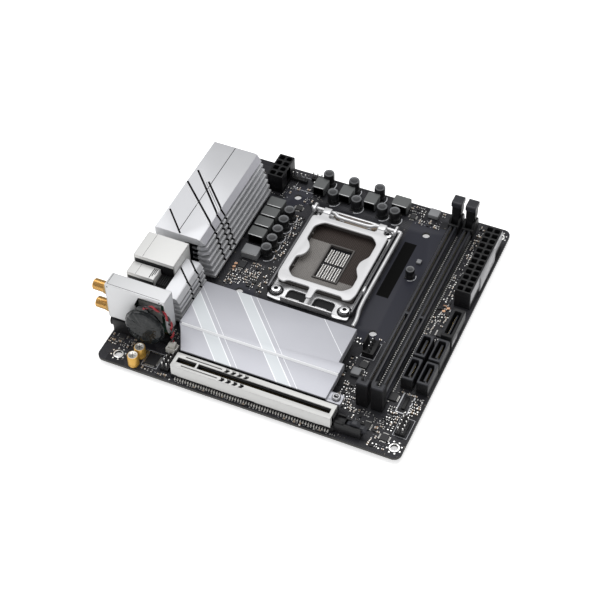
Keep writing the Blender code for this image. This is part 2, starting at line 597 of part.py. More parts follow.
def audio_capacitors():
    for number, (x, y) in enumerate(((-63.3, -75.5), (-64.0, -81.8)), 1):
        profile = [(3.0, GAP), (3.0, 1.6), (2.75, 2.0), (3.0, 2.4), (3.0, 7.2), (2.6, 7.7)]
        piece(f"audio_capacitor_{number}", GOLD_CAN, turned(profile, (x, y, 0), sides=16))


# The lead leaves the top of the battery, bows out past the radio box and drops to its plug
LEAD_ROUTE = (
    (-62.6, -68.2, 30.8), (-58.6, -67.4, 31.6), (-54.0, -67.0, 31.0), (-50.2, -66.8, 27.4),
    (-48.4, -66.2, 20.6), (-48.6, -65.8, 13.4), (-49.4, -65.5, 7.2),
)

for old in list(bpy.data.objects):
    bpy.data.objects.remove(old)

PCB = material("pcb", (0.035, 0.036, 0.045), 0.45, 0.0)
SOCKET_PLASTIC = material("socket_plastic", (0.10, 0.09, 0.085), 0.5, 0.0)
CONTACTS = material("contacts", (0.32, 0.28, 0.25), 0.45, 0.3)
LIGHT_STEEL = material("light_steel", (0.72, 0.72, 0.73), 0.3, 0.9)
DARK_STEEL = material("dark_steel", (0.06, 0.06, 0.065), 0.4, 0.6)
SCREW_STEEL = material("screw_steel", (0.62, 0.62, 0.63), 0.25, 1.0)
SILVER = material("silver", (0.66, 0.66, 0.69), 0.38, 0.85)
BRIGHT_STEEL = material("bright_steel", (0.82, 0.82, 0.82), 0.3, 0.9)
SHEET = material("sheet", (0.78, 0.78, 0.79), 0.35, 0.9)
PAD = material("thermal_pad", (0.45, 0.47, 0.52), 0.8, 0.0)
CHIP = material("chip", (0.03, 0.03, 0.03), 0.4, 0.0)
BLACK = material("black_plastic", (0.02, 0.02, 0.022), 0.42, 0.0)
GOLD = material("gold", (0.85, 0.62, 0.26), 0.25, 1.0)
GOLD_CAN = material("gold_can", (0.72, 0.42, 0.08), 0.3, 0.9)
CARD = material("radio_card", (0.03, 0.06, 0.045), 0.4, 0.0)
WRAP = material("shrink_wrap", (0.015, 0.016, 0.017), 0.25, 0.0)
WHITE = material("white_nylon", (0.75, 0.74, 0.70), 0.5, 0.0)
RED_WIRE = material("red_wire", (0.35, 0.03, 0.03), 0.4, 0.0)
FERRITE = material("ferrite", (0.13, 0.13, 0.13), 0.6, 0.0)

board_frame = bpy.data.objects.new("board_frame", None)
bpy.context.scene.collection.objects.link(board_frame)
# Antenna tips reach further back than the board's front edge reaches forward
REAR_REACH = WIFI_X[0] - 9.2
board_frame.location = Vector((-(REAR_REACH + BOARD_HALF) / 2, 0, -UNDER)) * MM

circuit_board()
socket()
socket_frame()
load_plate()
load_lever()
heatsinks()
m2_bay()
expansion_slot()
memory_slots()
power_connectors()
data_connectors()
rear_connectors()
wireless()
battery()
chokes()
audio_capacitors()
bpy.context.view_layer.update()
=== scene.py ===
import random
from math import atan2, cos, pi, radians, sin, sqrt

import bmesh
import bpy
from mathutils import Matrix, Vector, noise


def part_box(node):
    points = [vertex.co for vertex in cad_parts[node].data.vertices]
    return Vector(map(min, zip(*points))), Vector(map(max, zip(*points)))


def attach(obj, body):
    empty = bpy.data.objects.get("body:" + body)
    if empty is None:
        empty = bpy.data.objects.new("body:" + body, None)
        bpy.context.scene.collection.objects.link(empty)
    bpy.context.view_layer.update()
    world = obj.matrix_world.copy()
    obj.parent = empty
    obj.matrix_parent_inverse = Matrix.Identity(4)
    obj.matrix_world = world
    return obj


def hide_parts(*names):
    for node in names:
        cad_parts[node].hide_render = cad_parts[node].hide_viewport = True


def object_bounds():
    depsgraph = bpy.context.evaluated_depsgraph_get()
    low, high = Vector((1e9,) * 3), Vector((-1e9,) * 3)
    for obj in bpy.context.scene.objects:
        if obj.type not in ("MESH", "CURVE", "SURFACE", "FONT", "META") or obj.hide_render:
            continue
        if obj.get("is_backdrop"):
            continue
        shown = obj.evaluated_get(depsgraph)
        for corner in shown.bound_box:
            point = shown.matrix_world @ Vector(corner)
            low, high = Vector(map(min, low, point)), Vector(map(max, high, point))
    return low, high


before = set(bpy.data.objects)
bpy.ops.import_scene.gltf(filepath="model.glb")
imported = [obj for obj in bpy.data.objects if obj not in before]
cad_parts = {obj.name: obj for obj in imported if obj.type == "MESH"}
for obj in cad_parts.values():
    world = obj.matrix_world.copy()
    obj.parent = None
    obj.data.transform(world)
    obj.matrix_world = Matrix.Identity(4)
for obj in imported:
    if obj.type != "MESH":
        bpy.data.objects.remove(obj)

CAD_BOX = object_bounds()


# Camera, floor and light
# A long lens looks down on the board from its front expansion-slot corner. The floor is
# plain and pale, under a bright even sky and three large soft lamps.

MM = 0.001
BOARD_LOW, BOARD_HIGH = (Vector(corner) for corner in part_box("circuit_board"))
BOARD_ORIGIN = Vector(((BOARD_LOW.x + BOARD_HIGH.x) / 2, (BOARD_LOW.y + BOARD_HIGH.y) / 2,
    BOARD_HIGH.z))


def in_world(x, y, z):
    """A place given in board millimetres, from the middle of the board's upper face."""
    return BOARD_ORIGIN + Vector((x, y, z)) * MM


def in_scene(name, data):
    """A new object that holds the data, linked into the scene."""
    made = bpy.data.objects.new(name, data)
    bpy.context.scene.collection.objects.link(made)
    return made


VIEW_TURN, VIEW_RISE, VIEW_ROLL = radians(25.386), radians(48.126), radians(-1.816)
VIEW_AIM = in_world(-2.766, -7.339, 0.0)
VIEW_DISTANCE = 0.850559
VIEW_LENS = 95.08
LAMP_AIM = (0, 0, 0.01)
LAMPS = (("lamp_over", (-0.15, 0.30, 0.95), (0.9, 0.7), 5.5),
         ("lamp_left", (-0.85, -0.25, 0.55), (0.6, 0.6), 2.4),
         ("lamp_near", (0.45, -0.95, 0.60), (0.8, 0.5), 1.2))
SKY_STRENGTH = 0.50


def place_camera():
    back = Vector((sin(VIEW_TURN) * cos(VIEW_RISE), -cos(VIEW_TURN) * cos(VIEW_RISE),
                   sin(VIEW_RISE)))
    right = Vector((cos(VIEW_TURN), sin(VIEW_TURN), 0))
    up = back.cross(right)
    across = right * cos(VIEW_ROLL) + up * sin(VIEW_ROLL)
    upright = up * cos(VIEW_ROLL) - right * sin(VIEW_ROLL)
    camera = in_scene("camera", bpy.data.cameras.new("camera"))
    camera.data.lens = VIEW_LENS
    camera.data.clip_start, camera.data.clip_end = 0.01, 20
    camera.matrix_world = Matrix.Translation(VIEW_AIM + back * VIEW_DISTANCE) @ Matrix(
        (across, upright, back)).transposed().to_4x4()
    bpy.context.scene.camera = camera


def soft_lamp(name, place, size, power):
    lamp = bpy.data.lights.new(name, "AREA")
    lamp.shape = "RECTANGLE"
    lamp.size, lamp.size_y = size
    lamp.energy = power
    in_scene(name, lamp).matrix_world = Matrix.Translation(place) @ (
        Vector(place) - Vector(LAMP_AIM)).to_track_quat("Z", "Y").to_matrix().to_4x4()


place_camera()
for lamp_facts in LAMPS:
    soft_lamp(*lamp_facts)

sky = bpy.data.worlds.new("sky")
sky.use_nodes = True
sky.node_tree.nodes["Background"].inputs["Color"].default_value = (1.0, 1.0, 1.0, 1.0)
sky.node_tree.nodes["Background"].inputs["Strength"].default_value = SKY_STRENGTH
bpy.context.scene.world = sky
bpy.context.scene.view_settings.view_transform = "Standard"


# Finishes
# Small classes that let a finish be written as plain shader maths: a Field is one value over
# the surface, and a Finish is one material with its fields measured in board millimetres.

class Field:
    def __init__(self, finish, socket):
        self.finish, self.socket = finish, socket

    def maths(self, operation, a, b=0.0):
        return self.finish.node("ShaderNodeMath", {"operation": operation}, [a, b])

    def __add__(self, other):
        return self.maths("ADD", self, other)

    def __radd__(self, other):
        return self.maths("ADD", other, self)

    def __sub__(self, other):
        return self.maths("SUBTRACT", self, other)

    def __rsub__(self, other):
        return self.maths("SUBTRACT", other, self)

    def __mul__(self, other):
        return self.maths("MULTIPLY", self, other)

    def __rmul__(self, other):
        return self.maths("MULTIPLY", other, self)

    def __lt__(self, other):
        return self.maths("LESS_THAN", self, other)

    def __gt__(self, other):
        return self.maths("GREATER_THAN", self, other)

    def __abs__(self):
        return self.maths("ABSOLUTE", self)

    def wave(self, pitch):
        """Distance from the nearest of lines a pitch apart."""
        return self.maths("PINGPONG", self, pitch / 2)

    def step(self, low, high):
        """0 at low and 1 at high, smooth between."""
        return self.finish.node("ShaderNodeMapRange", {"interpolation_type": "SMOOTHSTEP"},
                                {"Value": self, "From Min": low, "From Max": high})


class Finish:
    def __init__(self, name, roughness, metallic=0.0, **fixed):
        self.material = bpy.data.materials.new(name)
        self.material.use_nodes = True
        self.tree = self.material.node_tree
        self.shader = self.tree.nodes["Principled BSDF"]
        self.shader.inputs["Roughness"].default_value = roughness
        self.shader.inputs["Metallic"].default_value = metallic
        for socket, value in fixed.items():
            self.shader.inputs[socket.replace("_", " ")].default_value = value
        place = self.node("ShaderNodeTexCoord", out="Object")
        self.place = self.node("ShaderNodeVectorMath", {"operation": "SCALE"},
                               {"Vector": place, "Scale": 1 / MM})
        self.x, self.y, self.z = (
            self.node("ShaderNodeSeparateXYZ", values=[self.place], out=axis) for axis in "XYZ")

    def node(self, kind, settings=None, values=(), out=0):
        """Adds one node: its settings first, then its sockets' values or links."""
        made = self.tree.nodes.new(kind)
        for key, value in (settings or {}).items():
            if key == "stops":
                ramp = made.color_ramp.elements
                while len(ramp) < len(value):
                    ramp.new(0.5)
                for stop, (position, colour) in zip(ramp, value):
                    stop.position, stop.color = position, (*colour, 1.0)
            else:
                setattr(made, key, value)
        pairs = values.items() if isinstance(values, dict) else enumerate(values)
        for key, value in pairs:
            if isinstance(value, Field):
                self.tree.links.new(value.socket, made.inputs[key])
            else:
                made.inputs[key].default_value = value
        return Field(self, made.outputs[out])

    def speckle(self, size, detail=2.0, stretch=(1, 1, 1)):
        """Soft random values from 0 to 1, about size millimetres across."""
        place = self.place
        if stretch != (1, 1, 1):
            place = self.node("ShaderNodeMapping", {"vector_type": "POINT"},
                              {"Vector": place, "Scale": stretch})
        return self.node("ShaderNodeTexNoise", values={"Vector": place, "Scale": 1 / size,
            "Detail": detail})

    def blend(self, share, first, second):
        """Colour: first where share is 0, second where it is 1."""
        first = first if isinstance(first, Field) else (*first, 1.0)
        second = second if isinstance(second, Field) else (*second, 1.0)
        return self.node("ShaderNodeMix", {"data_type": "RGBA"}, {0: share, 6: first, 7: second},
                         out=2)

    def send(self, socket, field):
        self.tree.links.new(field.socket, self.shader.inputs[socket])

    def relief(self, height, depth):
        """Bump: a height field from 0 to 1 that stands depth millimetres proud."""
        self.send("Normal", self.node("ShaderNodeBump", values={
            "Strength": 1.0, "Distance": depth * MM, "Height": height}, out="Normal"))


DRIFT_SIZE, GRAIN_DETAIL = 9.0, 3.0


def plain_finish(name, colour, roughness, metallic=0.0, spread=0.12, grain=0.2, depth=0.01,
                 stretch=(1, 1, 1), **fixed):
    """A finish whose colour and gloss drift softly, with a fine surface grain."""
    made = Finish(name, roughness, metallic, **fixed)
    drift = made.speckle(DRIFT_SIZE, GRAIN_DETAIL)
    fine = made.speckle(grain, GRAIN_DETAIL, stretch)
    dark = tuple(c * (1 - spread) for c in colour)
    light = tuple(min(1.0, c * (1 + spread)) for c in colour)
    made.send("Base Color", made.blend(drift * 0.6 + fine * 0.4, dark, light))
    made.send("Roughness", roughness - 0.05 + 0.06 * fine + 0.05 * drift)
    made.relief(fine, depth)
    return made


HALF_FLOOR, FLOOR_GAP, FLOOR_GLOW = 4, 0.0002, 0.50
floor_finish = plain_finish("floor", (0.93, 0.93, 0.93), 0.7, spread=0.004, grain=3.0, depth=0.001,
                            Emission_Color=(1, 1, 1, 1), Emission_Strength=FLOOR_GLOW)
floor_mesh = bpy.data.meshes.new("floor")
floor_mesh.from_pydata([(x * HALF_FLOOR, y * HALF_FLOOR, 0) for x, y in (
    (-1, -1), (1, -1), (1, 1), (-1, 1))], [], [(0, 1, 2, 3)])
floor_mesh.materials.append(floor_finish.material)
floor = in_scene("floor", floor_mesh)
floor.location.z = CAD_BOX[0][2] - FLOOR_GAP
floor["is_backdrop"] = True


# Solid shapes
# Every piece is gathered as solids in board millimetres, each with its own finish, and is
# then made one mesh in the CAD model's own frame.

AXIS_TURNS = {
    "Z": Matrix.Identity(4),
    "Y": Matrix(((1, 0, 0, 0), (0, 0, 1, 0), (0, 1, 0, 0), (0, 0, 0, 1))),
    "X": Matrix(((0, 0, 1, 0), (1, 0, 0, 0), (0, 1, 0, 0), (0, 0, 0, 1))),
}


def around(middle, reach):
    """The range that reaches equally far to each side of a middle."""
    return (middle - reach, middle + reach)


def inset(span, gap):
    """A range drawn in at both ends, or let out where the gap is below 0."""
    return (span[0] + gap, span[1] - gap)


def both_sides(middle, half):
    """A whole outline from its right half, given as (distance from the middle, height)."""
    left = [(middle - a, b) for a, b in reversed(half)]
    return left[-1:] + [(middle + a, b) for a, b in half] + left[:-1]


def ring(centre, radius, sides=48, start=0.0):
    return [(centre[0] + radius * cos(start + 2 * pi * i / sides),
             centre[1] + radius * sin(start + 2 * pi * i / sides)) for i in range(sides)]


def rectangle(x, y, radius=0.0, steps=6):
    """A rectangle's outline, with round corners when a radius is given."""
    if not radius:
        return [(x[0], y[0]), (x[1], y[0]), (x[1], y[1]), (x[0], y[1])]
    points = []
    for quarter, (cx, cy) in enumerate(((x[1] - radius, y[1] - radius),
            (x[0] + radius, y[1] - radius), (x[0] + radius, y[0] + radius),
            (x[1] - radius, y[0] + radius))):
        points += [(cx + radius * cos((quarter + i / steps) * pi / 2),
                    cy + radius * sin((quarter + i / steps) * pi / 2)) for i in range(steps + 1)]
    return points


def mesh_of(work, name):
    """Turns a finished bmesh into a mesh and frees it."""
    mesh = bpy.data.meshes.new(name)
    work.to_mesh(mesh)
    work.free()
    return mesh


def evaluated_mesh(holder):
    """The plain mesh that an object's curve or modifiers make; the object is then removed."""
    graph = bpy.context.evaluated_depsgraph_get()
    mesh = bpy.data.meshes.new_from_object(holder.evaluated_get(graph))
    bpy.data.objects.remove(holder)
    return mesh


def straight_line(curve, places):
    """Adds a line of straight steps to a curve."""
    line = curve.splines.new("POLY")
    line.points.add(len(places) - 1)
    for point, place in zip(line.points, places):
        point.co = (*place, 1)
    return line


def round_strand(name, places, radius, resolution):
    """A round strand through a list of places, with closed ends."""
    made = bpy.data.curves.new(name, "CURVE")
    made.dimensions = "3D"
    made.bevel_depth = radius
    made.bevel_resolution = resolution
    made.use_fill_caps = True
    straight_line(made, places)
    return made


class Piece:
    def __init__(self, name):
        self.name = name
        self.solids = []

    def add(self, mesh, finish):
        self.solids.append((mesh, finish))
        return mesh

    def block(self, x, y, z, finish, edge=0.2, steps=2):
        """A box with its edges rounded."""
        work = bmesh.new()
        bmesh.ops.create_cube(work, size=1.0)
        size = Vector((x[1] - x[0], y[1] - y[0], z[1] - z[0]))
        middle = Vector((x[0] + x[1], y[0] + y[1], z[0] + z[1])) / 2
        bmesh.ops.transform(work, matrix=Matrix.Translation(middle) @ Matrix.Diagonal((*size, 1)),
                            verts=work.verts)
        edge = min(edge, 0.45 * min(size))
        if edge > 0:
            bmesh.ops.bevel(work, geom=work.edges[:], offset=edge, segments=steps, profile=0.5,
                            affect="EDGES")
        return self.add(mesh_of(work, self.name), finish)

    def plate(self, loops, low, high, finish, edge=0.12, axis="Z", steps=1):
        """A flat sheet with openings: outlines pushed along an axis, with their edges rounded."""
        flat = bpy.data.curves.new(self.name, "CURVE")
        flat.dimensions = "2D"
        flat.fill_mode = "BOTH"
        flat.extrude = max(1e-4, (high - low) / 2 - edge)
        flat.bevel_depth = edge
        flat.bevel_resolution = steps
        flat.offset = -edge
        for number, loop in enumerate(loops):
            turn = sum(a[0] * b[1] - b[0] * a[1] for a, b in zip(loop, loop[1:] + loop[:1]))
            if (turn > 0) == bool(number):
                loop = loop[::-1]
            straight_line(flat, [(a, b, 0) for a, b in loop]).use_cyclic_u = True
        mesh = evaluated_mesh(in_scene(self.name, flat))
        mesh.transform(AXIS_TURNS[axis] @ Matrix.Translation((0, 0, (low + high) / 2)))
        work = bmesh.new()
        work.from_mesh(mesh)
        bmesh.ops.remove_doubles(work, verts=work.verts, dist=1e-4)
        bmesh.ops.recalc_face_normals(work, faces=work.faces)
        work.to_mesh(mesh)
        work.free()
        return self.add(mesh, finish)

    def turned(self, centre, profile, finish, axis="Z", sides=40, closed=False):
        """A profile of (radius, height) spun about an axis; radius 0 closes it to a point."""
        work = bmesh.new()
        rings = []
        for radius, height in profile:
            if radius <= 0:
                rings.append([work.verts.new((0, 0, height))])
            else:
                rings.append([work.verts.new((a, b, height)) for a, b in ring((0, 0), radius,
                    sides)])
        for lower, upper in zip(rings, rings[1:]):
            for i in range(sides):
                j = (i + 1) % sides
                corners = [lower[i % len(lower)], lower[j % len(lower)], upper[j % len(upper)],
                           upper[i % len(upper)]]
                unique = list(dict.fromkeys(corners))
                if len(unique) > 2:
                    work.faces.new(unique)
        if closed:
            for end in (rings[0], rings[-1]):
                if len(end) > 1:
                    work.faces.new(end)
        bmesh.ops.recalc_face_normals(work, faces=work.faces)
        bmesh.ops.transform(work, matrix=Matrix.Translation(centre) @ AXIS_TURNS[axis],
            verts=work.verts)
        if axis != "Z":
            bmesh.ops.recalc_face_normals(work, faces=work.faces)
        return self.add(mesh_of(work, self.name), finish)

    def wire(self, path, radius, finish, sides=16, rounds=3):
        """A round wire along a path whose corners are eased."""
        for _ in range(rounds):
            eased = [path[0]]
            for a, b in zip(path, path[1:]):
                a, b = Vector(a), Vector(b)
                eased += [a.lerp(b, 0.25), a.lerp(b, 0.75)]
            path = [*eased, path[-1]]
        strand = round_strand(self.name, path, radius, sides // 4 - 1)
        return self.add(evaluated_mesh(in_scene(self.name, strand)), finish)

    def cut(self, target, cutters):
        """Takes other solids out of one that was added; cut faces keep the cutter's finish."""
        finishes = [finish for mesh, finish in self.solids if mesh is target]
        target.materials.append(finishes[0].material)
        body, tool = in_scene(self.name, target), in_scene(cutters.name, cutters.merged())
        modifier = body.modifiers.new("cut", "BOOLEAN")
        modifier.operation = "DIFFERENCE"
        modifier.solver = "EXACT"
        modifier.material_mode = "TRANSFER"
        modifier.object = tool
        result = evaluated_mesh(body)
        bpy.data.objects.remove(tool)
        self.solids = [(result if mesh is target else mesh, finish) for mesh, finish in self.solids]
        return result

    def merged(self):
        """All the solids as one mesh in board millimetres, with their finishes."""
        work = bmesh.new()
        slots = []
        for mesh, finish in self.solids:
            if not mesh.materials:
                mesh.materials.append(finish.material)
            numbers = []
            for material in mesh.materials:
                if material not in slots:
                    slots.append(material)
                numbers.append(slots.index(material))
            before = len(work.faces)
            work.from_mesh(mesh)
            work.faces.ensure_lookup_table()
            for face in work.faces[before:]:
                face.material_index = numbers[min(face.material_index, len(numbers) - 1)]
        result = mesh_of(work, self.name)
        for material in slots:
            result.materials.append(material)
        return result

    def finished(self, *replaces, body="board", angle=32):
        """Places the piece in the CAD frame and says what it rides on and stands for."""
        mesh = self.merged()
        mesh.transform(Matrix.Translation(BOARD_ORIGIN) @ Matrix.Scale(MM, 4))
        mesh.shade_smooth()
        mesh.set_sharp_from_angle(angle=radians(angle))
        made = in_scene(self.name, mesh)
        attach(made, body)
        if replaces:
            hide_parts(*replaces)


def extent(node):
    """A CAD node's box in board millimetres: its X, Y and Z ranges."""
    low, high = (tuple((Vector(corner) - BOARD_ORIGIN) / MM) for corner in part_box(node))
    return tuple(zip(low, high))


# Circuit board
# A 170 mm square of glass-epoxy laminate under near-black solder mask. Copper tracks stand
# faintly proud of the mask, and plated holes take the case screws and the cooler.

HALF_BOARD, LAMINATE = 85, 1.57
CASE_HOLES = ((-74.84, -78.65), (80.10, -78.65), (80.10, 78.83), (-51.98, 78.83))
CASE_HOLE_R, COOLER_HOLE_R = 1.98, 2.1
SOCKET_X, SOCKET_Y = 3.12, 25.2
COOLER_REACH = 39
COOLER_HOLES = tuple((SOCKET_X + i * COOLER_REACH, SOCKET_Y + j * COOLER_REACH)
                     for i in (-1, 1) for j in (-1, 1))
PATCH_SIZE, TRACK_PITCH, SLANT_PITCH, VIA_PITCH = 13, 0.62, 0.7, 2.3
COOLER_CLEAR_SQUARED = 72
CALM_COLOUR = (0.026, 0.027, 0.038)


def track_finish(name, ground, track, via):
    """Solder mask over bundles of copper tracks, each patch running its own way, with vias."""
    made = Finish(name, 0.38, 0.0, Specular_IOR_Level=0.16)
    patch = made.node("ShaderNodeTexVoronoi", {"distance": "CHEBYCHEV"},
                      {"Vector": made.place, "Scale": 1 / PATCH_SIZE}, out="Color")
    choice = made.node("ShaderNodeSeparateColor", values=[patch], out=0)
    crowd = made.node("ShaderNodeSeparateColor", values=[patch], out=1)
    along_x = made.y.wave(TRACK_PITCH) < 0.13
    along_y = made.x.wave(TRACK_PITCH) < 0.13
    slanted = ((made.x + made.y) * sqrt(0.5)).wave(SLANT_PITCH) < 0.14
    fallen = ((made.x - made.y) * sqrt(0.5)).wave(SLANT_PITCH) < 0.14
    lines = (along_x * (choice < 0.35) + along_y * ((choice > 0.35) * (choice < 0.6))
             + slanted * ((choice > 0.6) * (choice < 0.78)) + fallen * (choice > 0.78))
    lines = lines * (crowd > 0.30)
    east, north = made.x - BOARD_ORIGIN.x / MM, made.y - BOARD_ORIGIN.y / MM
    calm = (east > 31.5) * (east < 51) * (north > -16) * (north < 72)
    for x, y in COOLER_HOLES:
        calm = calm + ((east - x) * (east - x) + (north - y) * (north - y) < COOLER_CLEAR_SQUARED)
    calm = calm > 0.5
    lines = lines * (1 - calm)
    spots = made.node("ShaderNodeTexVoronoi", values={"Vector": made.place, "Scale": 1 / VIA_PITCH},
                      out="Distance")
    holes = (spots < 0.13) * (made.speckle(11.0) > 0.5) * (1 - calm)
    haze = made.speckle(26.0, 2.0)
    surface = made.blend(haze, tuple(c * 0.9 for c in ground), tuple(c * 1.12 for c in ground))
    surface = made.blend(lines * 0.85, surface, track)
    surface = made.blend(calm * 0.9, surface, CALM_COLOUR)
    made.send("Base Color", made.blend(holes, surface, via))
    made.send("Roughness", 0.36 + 0.08 * haze - 0.08 * lines)
    made.relief(lines * 0.6 + 0.08 * made.speckle(0.25, 3.0) - holes, 0.035)
    return made


mask_finish = track_finish("solder_mask", (0.016, 0.016, 0.019), (0.060, 0.060, 0.068),
    (0.22, 0.20, 0.17))
edge_finish = plain_finish("laminate_edge", (0.035, 0.034, 0.030), 0.7, grain=0.3,
    stretch=(1, 1, 8))
tin_finish = plain_finish("tinned_copper", (0.80, 0.80, 0.78), 0.28, 0.95)
solder_finish = plain_finish("solder", (0.62, 0.62, 0.62), 0.24, 1.0, grain=0.4, depth=0.02)
ink_finish = plain_finish("white_ink", (0.62, 0.63, 0.66), 0.6, grain=0.15, depth=0.004)

board = Piece("board_laminate")
outline = rectangle((-HALF_BOARD, HALF_BOARD), (-HALF_BOARD, HALF_BOARD), 4, 10)
holes = [ring(hole, CASE_HOLE_R, 40) for hole in CASE_HOLES]
holes += [ring(hole, COOLER_HOLE_R, 40) for hole in COOLER_HOLES]
board.plate([outline] + holes, -LAMINATE, 0, mask_finish, edge=0.06)
board_mesh = board.solids[0][0]
board_mesh.materials.append(mask_finish.material)
board_mesh.materials.append(edge_finish.material)
for face in board_mesh.polygons:
    face.material_index = 0 if abs(face.normal.z) > 0.9 else 1
board.finished("circuit_board")


# Repeated parts
# One geometry-node tree sets copies of a small part out in rows, and another sets them on a
# cloud of points, each with its own turn. Both end as real mesh in the part's finish.

def open_tree(name, sizes):
    """A new tree with a named input for each size, each input's identifier, and the inputs."""
    tree = bpy.data.node_groups.new(name, "GeometryNodeTree")
    keys = {size: tree.interface.new_socket(name=size, in_out="INPUT", socket_type=kind).identifier
            for size, kind in sizes}
    tree.interface.new_socket(name="Geometry", in_out="OUTPUT", socket_type="NodeSocketGeometry")
    return tree, keys, tree.nodes.new("NodeGroupInput").outputs


def tree_node(tree, kind, links, out=0, **settings):
    """Adds one node: its settings first, then its sockets' values or links."""
    made = tree.nodes.new(kind)
    for key, value in settings.items():
        setattr(made, key, value)
    for key, value in links.items():
        if isinstance(value, bpy.types.NodeSocket):
            tree.links.new(value, made.inputs[key])
        else:
            made.inputs[key].default_value = value
    return made.outputs[out]


def close_tree(tree, parts, finish):
    """Ends a tree: the copies become real mesh in one finish."""
    parts = tree_node(tree, "GeometryNodeRealizeInstances", {"Geometry": parts})
    parts = tree_node(tree, "GeometryNodeSetMaterial", {"Geometry": parts, "Material": finish})
    tree.links.new(parts, tree.nodes.new("NodeGroupOutput").inputs["Geometry"])


def rows_tree():
    tree, keys, given = open_tree("rows_of_parts", (("Part", "NodeSocketObject"),
        ("Finish", "NodeSocketMaterial"), ("Start", "NodeSocketVector"),
        ("Step", "NodeSocketVector"), ("Count", "NodeSocketInt"), ("Row Step", "NodeSocketVector"),
        ("Rows", "NodeSocketInt")))
    part = tree_node(tree, "GeometryNodeObjectInfo", {"Object": given["Part"]}, out="Geometry")
    row = tree_node(tree, "GeometryNodeMeshLine", {
        "Count": given["Count"], "Start Location": given["Start"], "Offset": given["Step"]})
    starts = tree_node(tree, "GeometryNodeMeshLine", {
        "Count": given["Rows"], "Offset": given["Row Step"]})
    rows = tree_node(tree, "GeometryNodeInstanceOnPoints", {"Points": starts, "Instance": row})
    rows = tree_node(tree, "GeometryNodeRealizeInstances", {"Geometry": rows})
    parts = tree_node(tree, "GeometryNodeInstanceOnPoints", {"Points": rows, "Instance": part})
    close_tree(tree, parts, given["Finish"])
    return tree, keys


def scatter_tree():
    tree, keys, given = open_tree("parts_on_points", (
        ("Geometry", "NodeSocketGeometry"), ("Part", "NodeSocketObject"),
        ("Finish", "NodeSocketMaterial")))
    part = tree_node(tree, "GeometryNodeObjectInfo", {"Object": given["Part"]}, out="Geometry")
    turn, size = (
        tree_node(tree, "GeometryNodeInputNamedAttribute", {"Name": name}, data_type=kind)
        for name, kind in (("turn", "FLOAT"), ("size", "FLOAT_VECTOR")))
    spin = tree_node(tree, "ShaderNodeCombineXYZ", {"Z": turn})
    parts = tree_node(tree, "GeometryNodeInstanceOnPoints", {
        "Points": given["Geometry"], "Instance": part, "Rotation": spin, "Scale": size})
    close_tree(tree, parts, given["Finish"])
    return tree, keys


ROWS, SCATTER = rows_tree(), scatter_tree()


def grown(base_mesh, tree_and_keys, part, finish, sizes):
    """Runs a tree on a base mesh and returns the plain mesh it makes."""
    tree, keys = tree_and_keys
    shape, holder = in_scene("part_shape", part.merged()), in_scene("parts", base_mesh)
    modifier = holder.modifiers.new("parts", "NODES")
    modifier.node_group = tree
    modifier[keys["Part"]] = shape
    modifier[keys["Finish"]] = finish.material
    for size, value in sizes.items():
        modifier[keys[size]] = value
    mesh = evaluated_mesh(holder)
    bpy.data.objects.remove(shape)
    return mesh


def rows_of(piece, part, start, step, count, row_step=(0, 0, 0), rows=1):
    """Adds rows of a part to a piece. Part is a Piece of one solid about the origin."""
    finish = part.solids[0][1]
    piece.add(grown(bpy.data.meshes.new("empty"), ROWS, part, finish, {
        "Start": start, "Step": step, "Count": count, "Row Step": row_step, "Rows": rows}), finish)


def parts_at(piece, part, places, finish=None):
    """Adds a part at each (x, y, z, turn, size) of a list, in its own finish or another."""
    finish = finish or part.solids[0][1]
    points = bpy.data.meshes.new("points")
    points.from_pydata([place[:3] for place in places], [], [])
    turns = points.attributes.new("turn", "FLOAT", "POINT")
    sizes = points.attributes.new("size", "FLOAT_VECTOR", "POINT")
    for number, place in enumerate(places):
        turns.data[number].value = place[3]
        sizes.data[number].vector = place[4]
    piece.add(grown(points, SCATTER, part, finish, {}), finish)


def small_block(x, y, z, finish, edge=0.0):
    """A part of one plain block, for setting out in rows or on points."""
    part = Piece("part")
    part.block(x, y, z, finish, edge, steps=1)
    return part


# Plated rings at the holes
# Bright annular pads surround the case holes, each with eight small plated holes set round it.

rings = Piece("hole_rings")
dot = Piece("dot")
dot.turned((0, 0, 0), [(0, 0), (0.46, 0), (0.40, 0.05), (0, 0.05)], tin_finish, sides=14)
RING_OUTER_R, RING_INNER_R, RING_THICK, DOT_CIRCLE_R = 2.75, 2.02, 0.05, 3.75
for hole in CASE_HOLES:
    for low, high in ((0, RING_THICK), (-LAMINATE - RING_THICK, -LAMINATE)):
        rings.plate([ring(hole, RING_OUTER_R), ring(hole, RING_INNER_R)], low, high, tin_finish,
                    edge=0.01)
    parts_at(rings, dot, [(*place, 0, 0, (1, 1, 1))
                          for place in ring(hole, DOT_CIRCLE_R, 8, pi / 8)])
rings.finished()


# Processor socket
# A moulded housing with a deep well. Two L-shaped fields of fine sprung contacts stand on its
# floor round an opening that shows small ceramic capacitors on the board.

socket_finish = plain_finish("socket_moulding", (0.075, 0.068, 0.064), 0.48, depth=0.006)
carrier_finish = plain_finish("contact_carrier", (0.17, 0.161, 0.153), 0.55, grain=0.3)
# Darker copies of the carrier and the contact gold: painted shade for the far part of the contact
# field.
shaded_carrier_finish = plain_finish("dark_carrier", (0.040, 0.031, 0.027), 0.6, grain=0.3,
                                   Specular_IOR_Level=0.2)
contact_finish = plain_finish("contact_gold", (0.36, 0.335, 0.315), 0.45, 0.4, depth=0.004)
shaded_contact_finish = plain_finish("contact_gold_turned", (0.075, 0.053, 0.045), 0.5, 0.3,
                                   depth=0.004)
ceramic_finish = plain_finish("ceramic", (0.33, 0.25, 0.18), 0.45, depth=0.004)
end_cap_finish = plain_finish("ceramic_end_cap", (0.80, 0.79, 0.77), 0.3, 0.9, depth=0.006)

